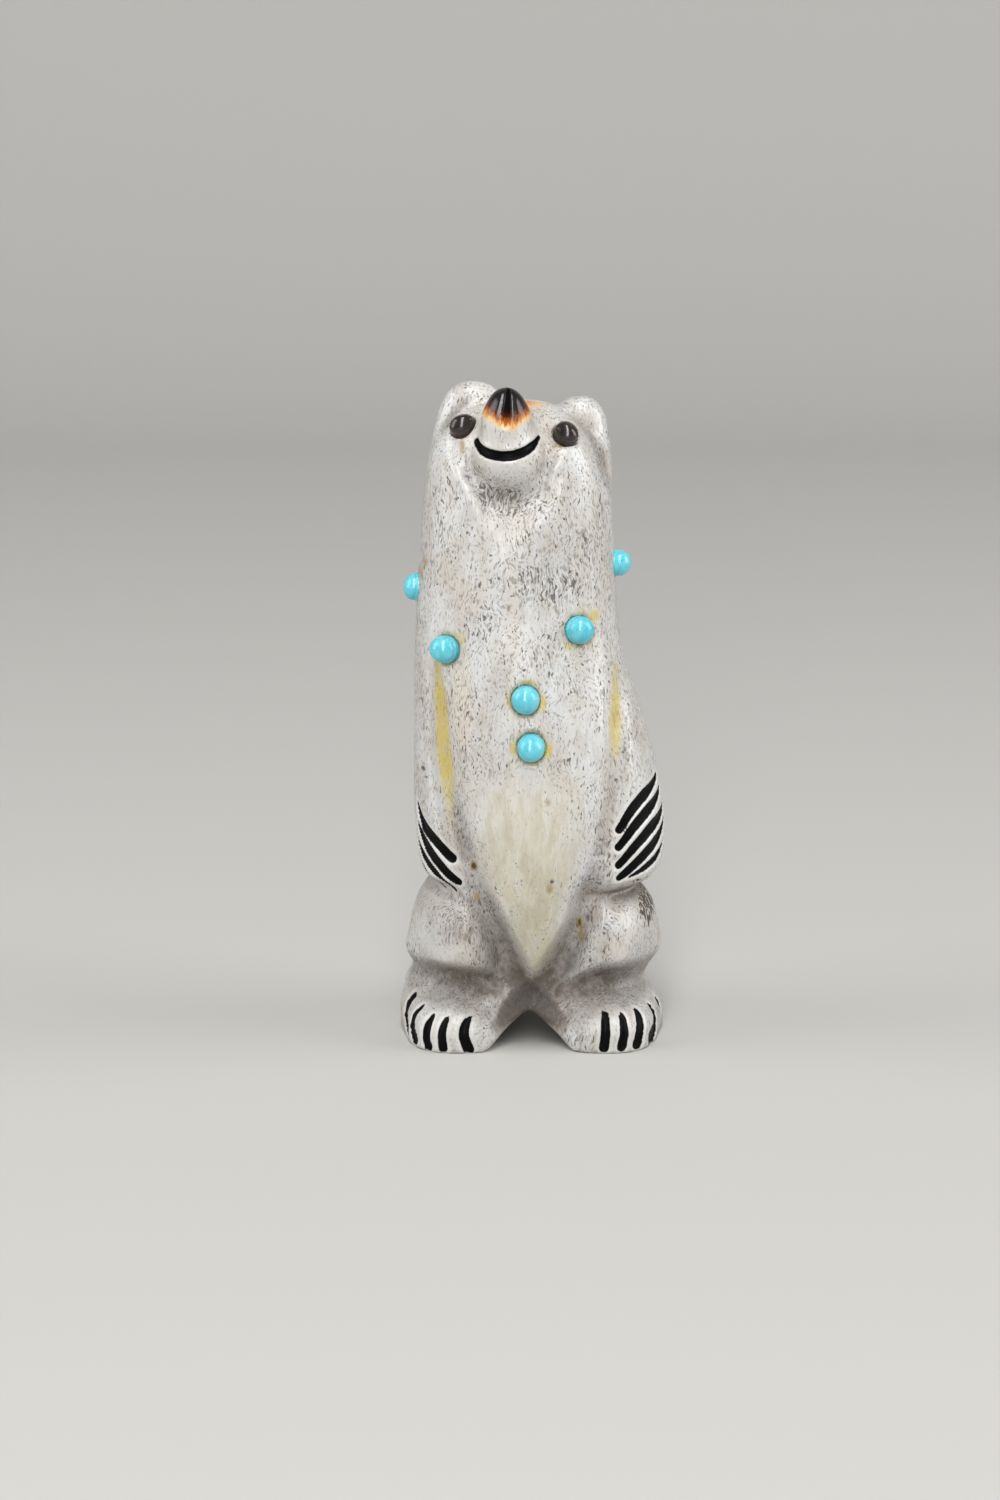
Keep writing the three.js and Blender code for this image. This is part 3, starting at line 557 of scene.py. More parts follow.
def drill(surface, seat, radius, depth):
    """Sinks what is inside R and slides points near it to R +- (RIM / 8 + max(2(|r - R| - RIM), 0))."""
    centre, axis = seat
    away = surface - centre
    up = away @ axis
    across = away - up[..., None] * axis
    r = np.linalg.norm(across, axis=-1)
    off = r - radius
    slid = radius + np.sign(off) * np.where(np.abs(off) < RIM, RIM / 8, (np.abs(off) - RIM) * 2 + RIM / 8)
    near = (np.abs(off) < 2 * RIM) & (np.abs(up) < BESIDE)
    moved = surface + np.where(near, slid / (r + 1e-9) - 1, 0)[..., None] * across
    sunk = (off < 0) & (np.abs(up) < BESIDE)
    return moved - np.where(sunk, up + depth, 0)[..., None] * axis


stone_seats, eye_seats = find_seats(CABOCHONS), find_seats(EYES)
edge = np.min([np.linalg.norm(skin - s[0], axis=-1) - CABOCHON / 2 for s in stone_seats.values()], axis=0)
print("the pockets are", round((CABOCHON / 2 + GLUE_GAP) / MM * 2, 2), "mm across")

# %% [markdown]
# ## Hollows with painted shade, stains and the scorched nose
#
# Years of handling leave dirt where no buff can reach, and rub the ridges pale. Shade is painted in as well,
# into the hollows, under chin and paws and over the lower body, and highlights are painted onto some ridges.
# How enclosed a point is can be read from the function: one step out of an open surface its value has grown
# by the whole step, but in a hollow by less, and by that much the hollow is drawn darker, as painted shade.
# All the rest is local, so it is listed as it lies on the bear, seen from the front: stain, dirt with painted
# shade, and rubbed ridges with painted highlights as bands along a path, and glue, amber, warm patches, pores
# and pits as ovals. Each becomes a value at every point of the skin.

# %% Soft edges, bands and ovals
out = outward(skin)
x, y, z = np.moveaxis(skin, -1, 0)
seen = skin[..., [0, 2]]  # as seen from the front


def soft_step(v, low, high):
    """0 below low, 1 above high, and 3t^2 - 2t^3 in between."""
    t = np.clip((v - low) / (high - low), 0, 1)
    return t * t * (3 - 2 * t)


def before(begins, full):
    """0 behind the plane y = begins, 1 before y = full."""
    return soft_step(-y, -begins, -full)


def bands(paths, inner, outer, steps=4):
    """The strongest band at each point. Each falls to 0 from inner to outer times its half width."""
    shares = []
    for path, widths, strengths in paths:
        distance, place = near_path(seen, smooth_path(path, steps))
        fall = soft_step(distance / at_step(widths, place), inner, outer)
        shares.append(at_step(strengths, place) * (1 - fall))
    return np.max(shares, axis=0)


def ovals(spots, inner, outer=1.2):
    """The strongest oval at each point. Each falls to 0 from inner to outer times its half sizes."""
    shares = [
        strength * (1 - soft_step(np.hypot((x - cx) / wide, (z - cz) / tall), inner, outer))
        for cx, cz, wide, tall, strength in spots
    ]
    return np.max(shares, axis=0)


front = soft_step(-out[..., 1], 0.0, 0.35)
print(round(100 * float((front > 0).mean())), "% of the grid's points face forwards")

# %% Stain, glue and amber
# bands: path in (x, z), half widths and strengths along it. Ovals: x, z, half width, half height, strength
STAINS = [
    ([(-13.4, 57.2), (-13.1, 52.5), (-12.8, 48.2), (-12.6, 44.6), (-12.1, 40.4), (-11.9, 37.3),
      (-11.5, 32.3)],
     (0.4, 0.75, 0.85, 0.9, 0.95, 0.8, 0.4), (0.6, 1, 1, 1, 0.95, 0.6, 0.1)),
    ([(12, 55.7), (12, 48.2), (12.1, 43.3)], (0.4, 0.9, 0.5), (0.5, 1, 0.6)),
]
GLUE = [
    (8.9, 63.3, 0.8, 0.9, 1), (1.5, 51.7, 0.6, 1.3, 0.9), (2.3, 45, 0.7, 1.2, 0.9),
    (-2.6, 45.3, 0.6, 1.1, 0.8), (5.2, 59.3, 0.8, 0.6, 0.6), (-10.2, 60.4, 0.9, 0.8, 0.5),
    (-0.4, 54.7, 1, 0.5, 0.6), (0.3, 42.9, 0.9, 0.4, 0.5), (-3.3, 51.9, 0.5, 1, 0.6),
]
AMBER = [
    (-8.3, 27.2, 0.6, 1, 1.3), (-7.9, 22.2, 0.7, 0.9, 0.9), (2.6, 24.6, 0.6, 0.9, 0.85),
    (7, 18.6, 0.5, 1.2, 1.25), (7.3, 16.8, 0.5, 1.3, 1), (2.3, 37.5, 0.5, 0.6, 0.6),
    (-3.3, 65, 0.35, 0.5, 0.9), (-16, 68.5, 0.6, 1.2, 0.7), (-9.9, 87.4, 0.5, 1.3, 0.75),
    (3.9, 87.5, 1.3, 0.5, 0.7), (10.3, 84.5, 0.6, 1.6, 0.3), (-15.2, 70.4, 0.5, 0.9, 0.5),
    (12.1, 48.6, 0.8, 1.8, 0.4),
]
yellow = np.maximum(bands(STAINS, 0.5, 1.5, 8) * before(-3, -6), ovals(GLUE, 0.5) * front)
amber = ovals(AMBER, 0.3) * before(1, -1)
halo = 1 - soft_step(edge, 0.1, 1.5)
print(len(STAINS), "stained grooves,", len(GLUE), "smears of glue and", len(AMBER), "amber spots")

# %% Dirt and painted shade in the hollows, and rubbed ridges with painted highlights
# dirt in the grooves, and painted shade where shade falls: under the chin and the throat, under the paws, at
# the ankles and where the feet meet
GRIME_AND_SHADE = [
    ([(-9, 28), (-7.4, 22.5), (-5.3, 17), (-3.4, 12), (-1.2, 8.5)], (1.2, 2, 2.3, 2.6, 2.4),
     (0.2, 0.55, 0.65, 0.85, 1.15)),
    ([(9.6, 30), (8.3, 23), (6.6, 17), (3.9, 11.2), (1.2, 8.5)], (1.2, 2, 2.2, 2.4, 2.4),
     (0.2, 0.45, 0.55, 0.85, 1.15)),
    ([(-17.5, 9.8), (-11.5, 9.6), (-5.5, 8.8)], (2, 2.7, 2.6), (0.6, 0.85, 0.9)),
    ([(17.5, 10.2), (11, 9.4), (4.5, 8)], (2, 2.6, 2.2), (0.6, 0.85, 0.9)),
    ([(-16, 23), (-12, 22.4), (-8, 21.6)], (0.7, 1.1, 1.1), (0.4, 0.55, 0.5)),
    ([(16, 23), (12, 22.8), (8.5, 23)], (0.7, 1.1, 1.2), (0.5, 0.6, 0.6)),
    ([(-8, 81.5), (-3.4, 80.4), (1.5, 81.8)], (1.2, 1.9, 1.2), (0.3, 0.6, 0.4)),
    ([(-12.1, 42), (-10.9, 36), (-9.4, 29)], (0.8, 1.2, 1.6), (0.2, 0.55, 0.68)),
    ([(12, 46), (11.2, 37), (10, 30)], (0.8, 1.2, 1.4), (0.2, 0.45, 0.45)),
    ([(-4.5, 4), (-0.3, 7), (4, 4)], (1.6, 2.8, 1.6), (0.9, 2.6, 0.9)),
    ([(-12.9, 88.9), (-11.3, 91.1), (-9.7, 92.6), (-7.7, 93.7)], (0.5, 0.6, 0.6, 0.4),
     (0.4, 0.75, 0.75, 0.4)),
    ([(5, 91.4), (6.9, 89.8), (8.7, 87.6), (9.9, 84.4), (11.2, 80.2)], (0.4, 0.55, 0.65, 0.7, 0.6),
     (0.3, 0.65, 0.75, 0.6, 0.3)),
    ([(-0.6, 92.9), (0.2, 90.9), (0.8, 89.9)], (0.4, 0.5, 0.5), (0.3, 0.4, 0.3)),
    ([(-7.9, 91), (-7.9, 90), (-7.7, 89.4)], (0.4, 0.5, 0.5), (0.3, 0.4, 0.3)),
    ([(-17, 7.6), (-11, 7.4), (-5.5, 5.5)], (1.8, 2, 2), (0.4, 0.5, 0.5)),
    ([(17, 7.8), (11, 7.2), (5, 5.2)], (1.8, 2.2, 2.2), (0.4, 0.5, 0.55)),
    ([(-6.6, 22), (-6.2, 16), (-5.2, 12)], (1.5, 2.8, 2.5), (0.25, 0.42, 0.5)),
    ([(-3.3, 71), (1.5, 72.5), (6, 74)], (3, 4, 4), (0.12, 0.25, 0.18)),
    ([(-8.5, 78.6), (-3.4, 77), (1.8, 78.8)], (1.6, 2.4, 1.6), (0.2, 0.32, 0.2)),
    ([(-10.2, 85.5), (-9.2, 83.5), (-7.9, 81.3)], (0.6, 0.9, 0.8), (0.2, 0.34, 0.25)),
    ([(3.1, 85.6), (2.3, 84.2), (1.6, 82.8)], (0.5, 0.7, 0.6), (0.2, 0.32, 0.25)),
    ([(-4.6, 52), (-4.2, 56), (-2.5, 60)], (1.5, 2, 1.5), (0.15, 0.28, 0.15)),
    ([(-15, 20), (-12.5, 19), (-9.8, 18)], (1.8, 2.4, 2), (0.28, 0.42, 0.4)),
    ([(9.5, 21), (10.5, 17.5), (10, 15)], (1, 1.2, 1), (0.2, 0.35, 0.2)),
]
JAW = [
    ([(-11.4, 85.1), (-10.4, 83.4), (-9.1, 81.5), (-7.6, 78.6)], (0.5, 0.7, 0.8, 0.5), (0.5, 0.9, 1, 0.5)),
    ([(4, 85.7), (3.2, 84.3), (2.5, 82.6)], (0.5, 0.6, 0.5), (0.6, 1, 0.5)),
]
# ridges rubbed pale, lightened further as painted highlights where the lights catch them: jaw, ear rims,
# thighs and the tops of the feet
WORN_AND_HIGHLIT = JAW + [
    ([(-13.6, 88), (-12.6, 91.4), (-9.8, 94.6), (-6.6, 95)], (0.5, 0.6, 0.6, 0.5), (0.4, 0.8, 0.8, 0.4)),
    ([(6, 92.6), (8.2, 92), (10, 89), (11.2, 84)], (0.5, 0.6, 0.6, 0.5), (0.4, 0.8, 0.8, 0.4)),
    ([(-15.8, 15.6), (-13, 13.6), (-10.6, 15)], (1.4, 1.7, 1), (0.7, 1, 0.6)),
    ([(12, 13.5), (14.5, 16.5), (13.5, 19.5)], (1.2, 1.4, 1.2), (0.5, 0.7, 0.4)),
    ([(-13.5, 5.6), (-10.5, 5.2), (-8, 4.6)], (0.7, 0.9, 0.7), (0.5, 0.8, 0.5)),
    ([(6.8, 4.6), (10, 5), (13.5, 5.4)], (0.7, 0.9, 0.7), (0.5, 0.8, 0.5)),
]


def enclosed(step):
    """1 less the function's growth over a step outwards, divided by that step."""
    return np.clip(1 - carving(skin + out * step) / step, 0, 1)


# painted shade, over the dirt that collects in hollows: the more enclosed a point is, the darker the bone is
# drawn
hollow_shade = np.clip(0.5 * enclosed(1.5) + 0.9 * enclosed(4), 0, 1)
grime_and_shade = bands(GRIME_AND_SHADE, 0.35, 1.4) * before(1.5, -1.5)
# painted shade: the lower body is drawn darker towards the bottom
grime_and_shade = grime_and_shade + 0.2 * soft_step(30 - z, 0, 14) + 0.06 * soft_step(9 - z, 0, 4)  # more the lower it is
worn_and_highlit = bands(WORN_AND_HIGHLIT, 0.2, 1.5) * before(1.5, -1.5)
print("hollows reach", round(float(hollow_shade.max()), 2), "and the dirt", round(float(grime_and_shade.max()), 2))

# %% Warmer bone, pores and pits
POROUS = [
    (1.8, 68.5, 7.5, 4, 0.8), (8, 78, 4.5, 8, 0.55), (-13, 72, 3, 9, 0.35), (-3.4, 80, 6.5, 2.4, 0.9),
    (15.5, 33, 3, 8, 0.3), (-4, 60, 7, 3, 0.2), (8.5, 22, 2, 6, 0.35), (-15.5, 12.5, 3, 4, 0.3),
    (11, 30, 2.6, 4.5, 0.7), (13.4, 44.5, 1.2, 3.5, 0.8),
]
SPONGY = [(17.1, 20.6, 1.9, 4.6, 1), (15.4, 23.6, 1.5, 1.6, 0.8)]
# x, z, radius
PITS = [
    (2.9, 25.7, 0.3), (-15.6, 40.5, 0.32), (-15.2, 39.4, 0.2), (-3.2, 64.6, 0.2), (13.3, 43.8, 0.25),
    (13.9, 42.4, 0.22),
]
# round the eyes, under the chin, down the left of the chest, on the arm and the thigh
TINTS = [
    (-3.5, 89, 8, 7, 1), (-3.4, 76.8, 5, 3.4, 0.65), (-10, 52, 2.2, 9, 0.9), (12.3, 15.4, 3.6, 2.6, 1.1),
    (11.5, 31, 2.4, 6, 0.7), (17, 20.6, 2.2, 5, 1.2), (-13, 21.5, 3, 3, 0.5), (-9.5, 12.5, 2.5, 5, 0.5),
    (8, 63.5, 3, 3, 0.6), (-8.5, 67, 3, 4, 0.5),
]
MUZZLE, MUZZLE_ENDS = (-3.5, -10, 89), (1, 0.6, 0.9)  # where the bone is dense, how fast it ends in x, y, z
porous = ovals(POROUS, 0.4, 1.1) * front
spongy = ovals(SPONGY, 0.5, 1.1) * before(3, -1)
pit = ovals([(px, pz, radius, radius, 1) for px, pz, radius in PITS], 0.7, 1.3) * front
dense = 1 - soft_step(np.linalg.norm((skin - MUZZLE) * MUZZLE_ENDS, axis=-1), 3.5, 6.5)
tint = ovals(TINTS, 0.3) * before(1, -2) * (1 - 0.8 * dense)
print(len(TINTS), "warm patches,", len(POROUS) + len(SPONGY), "porous ones and", len(PITS), "pits")

# %% The creamy belly and the scorch
BELLY = [(-8.8, 40.3), (-7.4, 26.5), (-1.6, 12.9), (0.6, 8.7), (2, 8.7), (4.2, 14.2), (6.2, 25.7),
         (7.6, 37.6), (8.3, 43.3), (-0.3, 44.4)]
BROW, BROW_WIDTHS = [(-1.8, 93.7), (-0.2, 93.2), (1.2, 92.9), (2.8, 92.4)], (1.9, 1.5, 0.9, 0)
SNOUT_X, SNOUT_Y, SNOUT_RADIUS = -3.6, -9.5, 5
SCORCH_FROM, SCORCH_DIP, DIP_X, DIP_WIDTH = 92.4, 1.8, -3.3, 2.4


def within_outline(outline):
    """Distance to a closed outline, above zero inside, where a ray crosses it an odd number of times."""
    corners = np.array(outline, float)
    distance, _ = near_path(seen, np.concatenate([corners, corners[:1]]))
    inside = np.zeros(x.shape, bool)
    for (x0, z0), (x1, z1) in zip(corners, np.roll(corners, -1, 0)):
        crosses = (z0 > z) != (z1 > z)
        inside ^= crosses & (x < x0 + (z - z0) * (x1 - x0) / (z1 - z0 + 1e-12))
    return np.where(inside, distance, -distance)


cream = soft_step(within_outline(BELLY), -3, 4) * front * (1 - 0.5 * soft_step(z, 36, 45))
scorch_edge = SCORCH_FROM - SCORCH_DIP * np.exp(-(((x - DIP_X) / DIP_WIDTH) ** 2))
scorch = np.where(np.hypot(x - SNOUT_X, y - SNOUT_Y) < SNOUT_RADIUS, z - scorch_edge, -1)
distance, place = near_path(seen, np.array(BROW))
scorch = np.maximum(scorch, at_step(BROW_WIDTHS, place) - 2 * distance - 3 * soft_step(y, 0.3, 1.8))
print("the scorch reaches", round(float(scorch.max()), 2), "mm above its edge")

# %% [markdown]
# ## Cutting the strokes and the pockets
#
# Now the skin is moved: lowered along its own direction in every stroke, with walls as steep as the grid
# allows, and then drilled. The nose is parted by a notch with a flat on either side, and each flat throws
# back a narrow light. The ridges of the jaw are the opposite of a stroke, and stand a little proud.

# %% The finished skin
JAW_RIDGE, JAW_RIDGE_WIDTH = 0.35, 0.7
CLEFT, NOTCH_DEPTH, NOSE_RADIUS = [(-3.3, 98), (-3.4, 94.6), (-3.8, 90)], 0.4, NOSE[1][0]
FLAT, FLAT_GROWS, FLAT_FROM = 0.75, 0.25, 96  # half width, its growth per mm down, where that starts


def arc(d):
    """How high a round nose stands at a distance d from its middle: the root of R^2 - d^2."""
    return np.sqrt(NOSE_RADIUS**2 - d**2)


cleft_distance, cleft_place = near_path(seen, np.array(CLEFT))
reaches = (1 - soft_step(cleft_place, 0.65, 1)) * before(-8.5, -10.2)
facet = FLAT + FLAT_GROWS * np.clip(FLAT_FROM - z, 0, 5)
flats = arc(np.minimum(cleft_distance, facet)) - arc(facet)
notch = NOTCH_DEPTH * np.clip(1 - cleft_distance / (0.5 * facet), 0, 1) * reaches
ridge = np.zeros(x.shape)
for path, _, strengths in JAW:
    distance, place = near_path(seen, smooth_path(path, 4))
    crest = np.exp(-((distance / JAW_RIDGE_WIDTH) ** 2)) * front
    ridge = np.maximum(ridge, at_step(strengths, place) * crest)
sink = CLAW_DEPTH * soft_step(claw, -0.12, 0.25) + MOUTH_DEPTH * soft_step(mouth, -0.12, 0.3)
sink = sink + (flats * reaches + notch) - JAW_RIDGE * ridge
carved = skin - sink[..., None] * out
carved[..., 2] = np.where(z < 0.02, 0, carved[..., 2])
for name, (centre, axis) in stone_seats.items():
    seat = (centre + SLACK.get(name, (0, 0, 0)), axis)
    carved = drill(carved, seat, CABOCHON / 2 + GLUE_GAP, POCKET_DEPTH)
for seat in eye_seats.values():
    carved = drill(carved, seat, EYE / 2 + GLUE_GAP, POCKET_DEPTH)
print("deepest stroke", round(float(sink.max()), 2), "mm")

# %% [markdown]
# ## Grids to Blender
#
# One function turns a grid of points into a closed mesh: quads between neighbours, and a fan to a point at
# each end. Blender takes the arrays whole. The values on the skin ride along as attributes for the material
# to read.

# %% A closed mesh from a grid


def into_scene(name, data):
    """An object of that name with a mesh, a light or a camera in it, linked to the scene."""
    made = bpy.data.objects.new(name, data)
    bpy.context.scene.collection.objects.link(made)
    return made


def closed_mesh(name, grid, first, last, values=None):
    """A grid closed round its columns: 4 corners for each quad, 3 for each face at the two end points."""
    rows, columns = grid.shape[:2]
    points = np.concatenate([grid.reshape(-1, 3), [first, last]]) * SCALE
    index = np.arange(rows * columns).reshape(rows, columns)
    beside = np.roll(index, -1, 1)
    quads = np.stack([index[:-1], beside[:-1], beside[1:], index[1:]], -1).reshape(-1, 4)
    bottom = np.stack([beside[0], index[0], np.full(columns, rows * columns)], -1)
    top = np.stack([index[-1], beside[-1], np.full(columns, rows * columns + 1)], -1)
    corners = np.concatenate([quads.ravel(), bottom.ravel(), top.ravel()])
    sizes = np.concatenate([np.full(len(quads), 4), np.full(2 * columns, 3)])
    mesh = bpy.data.meshes.new(name)
    mesh.vertices.add(len(points))
    mesh.vertices.foreach_set("co", points.ravel())
    mesh.loops.add(len(corners))
    mesh.loops.foreach_set("vertex_index", corners.astype(np.int32))
    mesh.polygons.add(len(sizes))
    mesh.polygons.foreach_set("loop_start", np.concatenate([[0], np.cumsum(sizes)[:-1]]).astype(np.int32))
    mesh.update(calc_edges=True)
    mesh.validate()
    mesh.polygons.foreach_set("use_smooth", np.ones(len(mesh.polygons), bool))
    for key, value in (values or {}).items():
        layer = mesh.attributes.new(key, "FLOAT", "POINT")
        ends = [value[0].mean(), value[-1].mean()]
        layer.data.foreach_set("value", np.concatenate([value.ravel(), ends]).astype(np.float32))
    return into_scene(name, mesh)


values = {"claw": claw, "mouth": mouth, "hollow_shade": hollow_shade, "yellow": yellow, "amber": amber, "cream": cream,
          "scorch": scorch, "halo": halo, "porous": porous, "spongy": spongy, "grime_and_shade": grime_and_shade, "dense": dense,
          "worn_and_highlit": worn_and_highlit, "pit": pit, "tint": tint, "soot": notch}
bear = closed_mesh("bear_carved_antler", carved, carved[0].mean(0), carved[-1].mean(0), values)
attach(bear, "root")
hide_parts("antler_bear")
print(bear.name, "has", len(bear.data.polygons), "faces")

# %% [markdown]
# ## The stones
#
# A cabochon is a disc of stone ground to a dome on one side. These are cut by hand, so none is quite round,
# each dome leans a little its own way, and the girdle, the short straight wall under the dome, disappears
# into the glue. The profile is a quarter of an ellipse on a straight wall, carried round an axis that
# points out of the seat. The eyes are lower and slightly oval, with a soft ridge left by the grinding.

# %% Cabochons
GIRDLE, GIRDLE_SHOWING = 1.5 * MM, 0.3 * MM
DOME, EYE_DOME, EYE_RIDGE = 2.1 * MM, 1.3 * MM, 0.25 * MM
ROUND, DOME_ROWS, WALL_ROWS = 72, 26, 6
SHOULDER = 0.06  # how much of the dome's height and width is rounded off where it meets the wall


def axes_of(out):
    """Two directions across a given one: the first is level, the second completes a right-handed set."""
    level = np.cross([0, 0, 1.0], out)
    level /= np.linalg.norm(level)
    return level, np.cross(out, level)


def stone(name, seat, wide, tall, dome, tilt, wobble, ridge, seed):
    """r(a, u) is half width * profile(a) * (1 + a wobble of cos 2u and cos 3u), height is dome * sin(a)."""
    centre, out = seat
    across, upwards = axes_of(out)
    chance = np.random.default_rng(seed)
    phase = chance.uniform(0, 2 * np.pi, 3)
    u = (2 * np.pi * np.arange(ROUND) / ROUND)[None]
    a = np.linspace(0, np.pi / 2, DOME_ROWS, endpoint=False)[:, None]
    wall = np.linspace(-GIRDLE + GIRDLE_SHOWING, GIRDLE_SHOWING - SHOULDER * dome, WALL_ROWS)[:, None]
    round_over = 1 - SHOULDER * (1 - np.sin(np.clip(a * 3, 0, np.pi / 2)))
    r = np.concatenate([np.ones_like(wall), np.cos(a) ** 0.94 * round_over])
    h = np.concatenate([wall, GIRDLE_SHOWING + dome * np.sin(a)])
    outline = 1 + wobble * np.cos(2 * u + phase[0]) + 0.6 * wobble * np.cos(3 * u + phase[1])
    sx, sy = r * outline * wide / 2 * np.cos(u), r * outline * tall / 2 * np.sin(u)
    lean = chance.normal(0, 0.04, 2)
    from_ridge = (sx * np.cos(tilt) + sy * np.sin(tilt)) / (0.3 * wide)
    bump = ridge * np.exp(-(from_ridge**2)) * (h > GIRDLE_SHOWING)
    sh = h + np.where(h > 0, sx * lean[0] + sy * lean[1], 0) + bump * (1 - r**2)
    turned_x, turned_y = sx * np.cos(tilt) - sy * np.sin(tilt), sx * np.sin(tilt) + sy * np.cos(tilt)
    grid = centre + turned_x[..., None] * across + turned_y[..., None] * upwards + sh[..., None] * out
    tip = centre + (GIRDLE_SHOWING + dome + ridge) * out
    piece = closed_mesh(name + "_stone", grid, grid[0].mean(0), tip)
    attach(piece, "root")
    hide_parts(name)
    return piece


LOWER = {"turquoise_shoulder_left": 0.82}  # share of the usual dome
OVAL, WOBBLE = 0.02, 0.012  # how far from round, as shares of the width
stones = []
for i, (name, seat) in enumerate(stone_seats.items()):
    tall, dome = CABOCHON * (1 + OVAL * (i % 3)), DOME * LOWER.get(name, 1)
    stones.append(stone(name, seat, CABOCHON, tall, dome, 0.3 * i, WOBBLE, 0, 11 + i))
eyes = [
    stone("eye_left", eye_seats["eye_left"], EYE * 1.03, EYE * 0.84, EYE_DOME, 0.9, 0.02, EYE_RIDGE, 31),
    stone("eye_right", eye_seats["eye_right"], EYE * 0.93, EYE * 1.03, EYE_DOME, 0.2, 0.03, EYE_RIDGE, 32),
]
print(len(stones), "cabochons and", len(eyes), "eyes, each of", len(stones[0].data.polygons), "faces")

# %% [markdown]
# ## Colours and nodes
#
# Colours are written as on a screen and turned to linear light, which the shader works in. One small
# function adds a node with its settings and its links. Some kinds of node have several sockets of the same
# name, one for each kind of data, so the function takes the one that is in use.

# %% Helpers for materials
METRE = 1000.0  # patterns are sized in millimetres, and Object coordinates are in metres
FROM, TO, LOW, HIGH = 1, 2, 3, 4  # sockets of a Map Range node, which takes FROM .. TO to LOW .. HIGH


def colour(code):
    """sRGB hex to linear: v / 12.92 up to 0.04045, ((v + 0.055) / 1.055) ^ 2.4 above."""
    parts = [int(code[i : i + 2], 16) / 255 for i in (1, 3, 5)]
    return [v / 12.92 if v <= 0.04045 else ((v + 0.055) / 1.055) ** 2.4 for v in parts] + [1]


def add(tree, kind, inputs, output=None, **settings):
    """Adds a node of that kind and gives back its output of that name, or the first that is in use.

    Inputs go by name or number, and each is a value, a colour in hex or another node's output.
    """
    made = tree.nodes.new("ShaderNode" + kind)
    for name, value in settings.items():
        setattr(made, name, value)
    for key, value in inputs.items():
        named = [s for s in made.inputs if s.name == key and s.enabled]
        socket = named[0] if named else made.inputs[key]
        if isinstance(value, bpy.types.NodeSocket):
            tree.links.new(value, socket)
        else:
            socket.default_value = colour(value) if isinstance(value, str) else value
    return next((s for s in made.outputs if (s.name == output if output else s.enabled)), None)


def start_material(name):
    """A material with an empty tree, and where a point is on its piece, in metres."""
    material = bpy.data.materials.new(name)
    material.use_nodes = True
    tree = material.node_tree
    tree.nodes.clear()
    return material, tree, add(tree, "TexCoord", {}, "Object")


def finish_material(material, surface, pieces):
    """Gives the shader what its sockets take, and the material to the pieces."""
    tree = material.node_tree
    add(tree, "OutputMaterial", {"Surface": add(tree, "BsdfPrincipled", surface)})
    for piece in pieces:
        piece.data.materials.append(material)
    print(material.name, "has", len(tree.nodes), "nodes and is on", len(pieces), "pieces")


def along_beam(tree, place, across, length, detail, roughness):
    """Noise whose grains are so many millimetres across the beam and along it."""
    scale = (METRE / across, METRE / across, METRE / length)
    grain = add(tree, "Mapping", {"Vector": place, "Scale": scale})
    return add(tree, "TexNoise", {"Vector": grain, "Scale": 1, "Detail": detail, "Roughness": roughness})


print("antler white in linear light is", [round(v, 3) for v in colour("#E4E0D9")[:3]])

# %% [markdown]
# ## Polished antler
#
# Antler is bone: a pale dense wall full of fine canals that run along the beam. Cut and polished, every
# canal that is opened shows as a dark dash, because dust and polish fill it. The eye reads three sizes at
# once: a dense pepper of faint dashes, fewer dark ones, and in a few places open pores where the carver has
# come near the spongy core. On the belly, where he cut deep, the bone is creamier and has hardly any
# dashes. The real dashes are about 0.15 mm wide, too fine for the picture, so they are drawn two to four
# times as wide.
#
# Everything that colours the bone is a layer over the one before, with a share from 0 to 1 at each point.
# The layers are listed first and mixed at the end. Bone has an index of refraction of about 1.55, and hand
# polish leaves a roughness near 0.3.

# %% The antler's colours
antler, tree, place = start_material("polished_antler")
attribute = {key: add(tree, "Attribute", {}, "Fac", attribute_name=key) for key in values}

mottle = along_beam(tree, place, 4, 9, 6, 0.65)
warm = add(tree, "MapRange", {"Value": mottle, FROM: 0.38, TO: 0.64})
bone = add(tree, "Mix", {"Factor": warm, "A": "#CDCECE", "B": "#BDB8AF"}, data_type="RGBA")
tinted = add(tree, "Math", {0: attribute["tint"], 1: 0.6}, operation="MULTIPLY")

fade = along_beam(tree, place, 1.6, 6, 5, 0.65)
belly = add(tree, "MapRange", {"Value": fade, FROM: 0.3, TO: 0.7, LOW: -0.7, HIGH: 0.7})
belly = add(tree, "Math", {0: attribute["cream"], 1: belly}, operation="ADD", use_clamp=True)
belly = add(tree, "Math", {0: belly, 1: attribute["cream"]}, operation="MULTIPLY", use_clamp=True)
height = add(tree, "SeparateXYZ", {"Vector": place}, "Z")
upper = add(tree, "MapRange", {"Value": height, FROM: 0.014, TO: 0.042})
creamy = add(tree, "Mix", {"Factor": upper, "A": "#CAC3A5", "B": "#D0CDC4"}, data_type="RGBA")
veins = add(tree, "MapRange", {"Value": fade, FROM: 0.4, TO: 0.62, LOW: 0, HIGH: 0.7})
creamy = add(tree, "Mix", {"Factor": veins, "A": creamy, "B": "#AFA893"}, data_type="RGBA")

streaks = along_beam(tree, place, 0.4, 2.4, 3, 0.6)
streaks = add(tree, "MapRange", {"Value": streaks, FROM: 0.4, TO: 0.7, LOW: 0, HIGH: 0.28})
layers = [(tinted, "#CCC3B3"), (belly, creamy), (streaks, "#B3AAA0")]
print("the antler's tree has", len(tree.nodes), "nodes so far")

# %% Dashes and pores
# size across and along the grain in mm, where the noise begins to be a hole and is a full one, how dark
DASHES = [(0.27, 0.8, 0.52, 0.66, 0.5), (0.36, 1, 0.63, 0.68, 0.85), (0.6, 1.3, 0.73, 0.79, 0.95)]
BEND = 0.003  # how far the dashes wander off the straight, in metres

